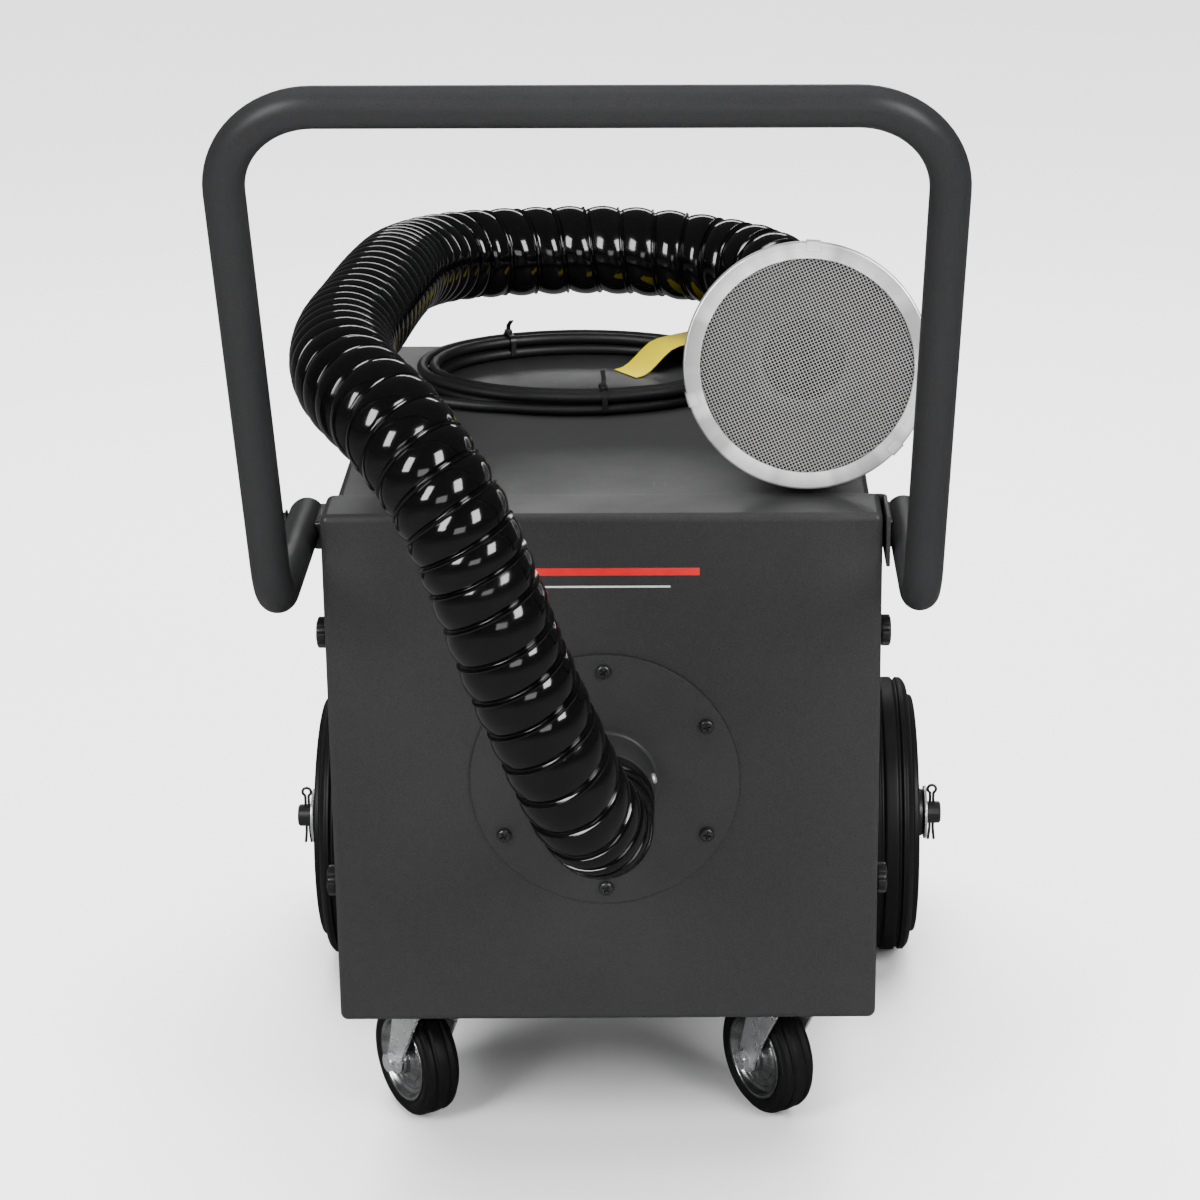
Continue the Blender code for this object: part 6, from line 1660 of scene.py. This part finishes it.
class FUME_OT_casters(bpy.types.Operator):
    """Makes the two swivel casters: plate and race, folded fork, dished rim, tyre and bolt"""

    bl_idname = "fume.casters"
    bl_label = "Casters"

    def execute(self, context):
        sizes = context.scene.fume_casters
        across = Vector((math.cos(sizes.turn), math.sin(sizes.turn), 0))
        for _side, name in SIDES:
            low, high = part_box(f"caster_plate_{name}")
            swivel = Vector(((low.x + high.x) / 2, (low.y + high.y) / 2, 0))
            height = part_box(f"caster_tyre_{name}")[1].z / 2
            turn = Matrix.Translation(swivel) @ Matrix.Rotation(sizes.turn, 4, "Z")
            middle = turn @ Vector((0, sizes.trail, height))
            where = along(middle, across)
            wheel, fork = f"caster_{name}_wheel", f"caster_{name}_fork"
            outline = self.tyre(sizes, height - 0.0002)
            spun(f"caster_tyre_{name}", outline, where, tyre_rubber(), 112, wheel)
            steel = brushed(f"turned_zinc_{name}", tuple(sizes.zinc), middle, across, 0.22), "zinc_plate"
            spun(f"caster_rim_{name}", self.rim(), where, steel, 96, wheel, crease=30)
            piece(f"caster_fork_{name}", self.fork(sizes, turn, height), zinc(), fork)
            shape = hexed(0.00736, shank=0.0042, free=0.0088)
            bolt = "caster_bolt_" + name
            spun(bolt, self.bolt(sizes), where, zinc(), 72, fork, crease=30, ring=False, shape=shape)
            self.plate(swivel, high.z, "caster_plate_" + name)
        return {"FINISHED"}

    def tyre(self, sizes, radius):
        half, shoulder, groove = sizes.tyre_width / 2, radius - 0.0004, radius - 0.0016
        edge = [
            (sizes.rim, 0.0140), (0.0385, half * 0.93), (0.0400, half), (0.0432, half), (0.0440, half * 0.90),
            (0.0448, half * 0.86), (groove, half * 0.78), (shoulder, half * 0.62), (shoulder, half * 0.50),
            (groove, half * 0.44), (groove, half * 0.34), (radius - 0.0002, half * 0.27), (radius, half * 0.06),
        ]  # fmt: skip
        return soften(both_faces(edge), 0.0006, 3)

    def rim(self):
        side = [
            (0.0043, 0.0187), (0.0098, 0.0187), (0.0120, 0.0180), (0.0128, 0.0165), (0.0132, 0.0128),
            (0.0160, 0.0112), (0.0205, 0.0098), (0.0215, 0.0080), (0.0262, 0.0080), (0.0272, 0.0092),
            (0.0300, 0.0100), (0.0318, 0.0122), (0.0330, 0.0146), (0.0352, 0.0150), (0.0357, 0.0142),
        ]  # fmt: skip
        return soften(both_faces(side), 0.0007, 3)

    def fork(self, sizes, turn, axle):
        """One sheet folded down on both sides of the wheel, rounded under the axle."""
        half, round_end, fold, top = sizes.fork_width / 2, 0.011, 0.005, 0.1292
        foot, shoulder = axle - round_end, top - fold
        section = rounded_path([(-half, foot), (-half, top), (half, top), (half, foot)], [fold, fold], 7)
        heights = [foot + round_end * (1 - math.cos(t)) for t in np.linspace(0.15, math.pi / 2, 7)]
        run = [(-half, z) for z in (*heights, *np.linspace(axle, shoulder, 6)[1:-1])]
        arch = [(p.x, p.y) for p in section[1:-1]]
        line, rows, points = [*run, *arch, *[(-x, z) for x, z in reversed(run)]], 9, []
        for x, z in line:
            share = max(0, min(1, (z - axle) / (shoulder - axle)))
            middle, reach = sizes.trail * (1 - share), round_end + 0.014 * share**1.6
            if z < axle:
                reach = math.sqrt(max(0.0001**2, round_end**2 - (axle - z) ** 2))
            points += [(x, middle + reach * t, z) for t in np.linspace(-1, 1, rows)]
        mesh = outward(plain_mesh("fork", points, rows_of_faces(len(line), rows, False)))
        if mesh.polygons[len(mesh.polygons) // 2].normal.z < 0:
            mesh.flip_normals()
        mesh = thickened("fork", mesh, sizes.fork_sheet, -1)
        mesh.transform(turn)
        return mesh

    def bolt(self, sizes):
        half, tall = sizes.fork_width / 2 + FIT, 0.006
        head = [(0, half + tall), (0.0074, half + tall), (0.0086, half + tall - 0.0008), (0.0086, half + 0.0012),
                (0.0090, half + 0.0010), (0.0090, half), (0.004, half)]  # fmt: skip
        return both_faces(head)[::-1]

    def plate(self, swivel, top, name):
        """The top plate with its pressed race and four bolts."""
        wide, deep, sheet, from_edge = 0.045, 0.035, 0.003, 0.009
        under = swivel + Vector((0, 0, top - sheet))
        ends = under - Vector((wide, deep, 0)), under + Vector((wide, deep, sheet))
        plate = rounded_box("plate", *ends, edge=0.007, segments=6, upright=True)
        race = [
            (0, -0.0001), (0.0262, -0.0001), (0.0260, 0.0016), (0.0245, 0.0030), (0.0245, 0.0040),
            (0.0256, 0.0052), (0.0256, 0.0066), (0.0240, 0.0079), (0, 0.0080),
        ]  # fmt: skip
        race = turned("race", soften(race, 0.0006, 3, closed=False), along(under, DOWN), 72, False)
        outline = [
            (0, -0.0002), (0.0075, -0.0002), (0.0075, 0.0010), (0.0060, 0.0011), (0.0063, 0.0014),
            (0.0063, 0.0044), (0.0054, 0.0050), (0, 0.0050),
        ]  # fmt: skip
        head = turned("head", outline, steps=72, ring=False, shape=hexed(0.0054, shank=0.001, free=0.0070))
        x, y = wide - from_edge, deep - from_edge
        places = [along(under + Vector(bolt), DOWN) for bolt in ((-x, -y, 0), (-x, y, 0), (x, -y, 0), (x, y, 0))]
        mesh = joined(name, [plate, race, copies("heads", head, places)])
        piece(name, outward(mesh, 0), zinc())


class FUME_OT_rear_fittings(bpy.types.Operator):
    """Finishes the exhaust grille and the switch, and puts the screws in the casing's rear edge"""

    bl_idname = "fume.rear_fittings"
    bl_label = "Rear fittings"

    def execute(self, context):
        self.switch()
        dress(blackened()[0], "exhaust_grille")
        screw = pan_screw("screw", 0.0042, 0.0024, shank=0.0016, reach=0.004)
        places = [along((x, 0.3053, 0.33 + z), OUT_BACK) for x in (-0.113, 0.113) for z in (-0.093, 0.093)]
        copied("grille_screws", screw, places, blackened())
        heights = (0.19, 0.35, 0.51)
        places = [from_side(side, CASING_HALF, 0.451, z) for side, _name in SIDES for z in heights]
        copied("casing_screws", screw, places, blackened())
        return {"FINISHED"}

    def switch(self):
        low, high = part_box("switch_body")
        face = REAR + FIT

        def block(name, inset, start, end, edge, segments):
            corner, other = (low.x + inset, start, low.z + inset), (high.x - inset, end, high.z - inset)
            return rounded_box(name, corner, other, edge, segments)

        bezel = block("bezel", 0, face, high.y, 0.0009, 3)
        body = block("block", 0.0035, low.y, high.y - 0.0005, 0.0006, 2)
        well = block("well", 0.0055, face - 0.004, high.y + 0.004, 0.0006, 2)
        body = cut("switch_body", cut("switch_body", bezel, [body], "UNION"), [well])
        piece("switch_body", body, black_plastic())
        dress(moulded("rocker_red", (0.42, 0.012, 0.012), 0.28), "switch_rocker")


class FUME_OT_filter_and_fan(bpy.types.Operator):
    """Pleats the filter and finishes the fan behind it"""

    bl_idname = "fume.filter_and_fan"
    bl_label = "Filter and fan"

    def execute(self, context):
        finish = paper("pleated_paper", (0.86, 0.85, 0.81)), "filter_paper"
        piece("filter_media", self.pleats(), finish, crease=60)
        dress(paper("filter_board", (0.60, 0.52, 0.40), 260.0, 0.8), "filter_frame")
        dress(plated("zinc_plate_inner", (0.55, 0.56, 0.57), 0.35), "fan_plate", "impeller", "motor_shaft")
        dress(coat("motor_coat", (0.05, 0.052, 0.055), 0.4), "motor")
        return {"FINISHED"}

    def pleats(self):
        low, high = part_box("filter_media")
        folds, sheet, turns = 32, 0.0012, 5
        pitch = (high.x - low.x - sheet) / folds
        bend = pitch / 4
        near, far = low.y + sheet / 2 + bend, high.y - sheet / 2 - bend
        line = [(low.x + sheet / 2, near)]
        for k in range(folds):
            for side, y, share in ((1, far, 0.25), (-1, near, 0.75)):
                x = low.x + sheet / 2 + (k + share) * pitch
                half_turn = np.linspace(0, math.pi, turns)
                line += [(x - bend * math.cos(t), y + side * bend * math.sin(t)) for t in half_turn]
        return curtain("filter_media", line, low.z, high.z, sheet)


PIECES = (
    FUME_OT_studio, FUME_OT_mains_cord, FUME_OT_front_cover, FUME_OT_casing, FUME_OT_inlet, FUME_OT_hose_arm,
    FUME_OT_nozzle, FUME_OT_knobs, FUME_OT_handle, FUME_OT_rear_wheels, FUME_OT_casters, FUME_OT_rear_fittings,
    FUME_OT_filter_and_fan,
)  # fmt: skip


class FUME_PT_pieces(bpy.types.Panel):
    """Lists the pieces and their sizes"""

    bl_idname = "FUME_PT_pieces"
    bl_label = "Fume extractor"
    bl_space_type = "VIEW_3D"
    bl_region_type = "UI"
    bl_category = "Fume extractor"

    def draw(self, context):
        for operator in PIECES:
            self.layout.operator(operator.bl_idname)
        for name, group in GROUPS.items():
            box = self.layout.box()
            box.label(text=group.__doc__)
            for key in group.__annotations__:
                box.prop(getattr(context.scene, name), key)


def register():
    for kind in (*GROUPS.values(), *PIECES, FUME_PT_pieces):
        bpy.utils.register_class(kind)
    for name, group in GROUPS.items():
        setattr(bpy.types.Scene, name, bpy.props.PointerProperty(type=group))


def unregister():
    for name in GROUPS:
        delattr(bpy.types.Scene, name)
    for kind in (FUME_PT_pieces, *reversed(PIECES), *reversed(GROUPS.values())):
        bpy.utils.unregister_class(kind)


def corners(box):
    return [[float(c) for c in corner] for corner in box]


def main():
    register()
    for operator in PIECES:
        group, name = operator.bl_idname.split(".")
        getattr(getattr(bpy.ops, group), name)()


if __name__ == "__main__":
    main()
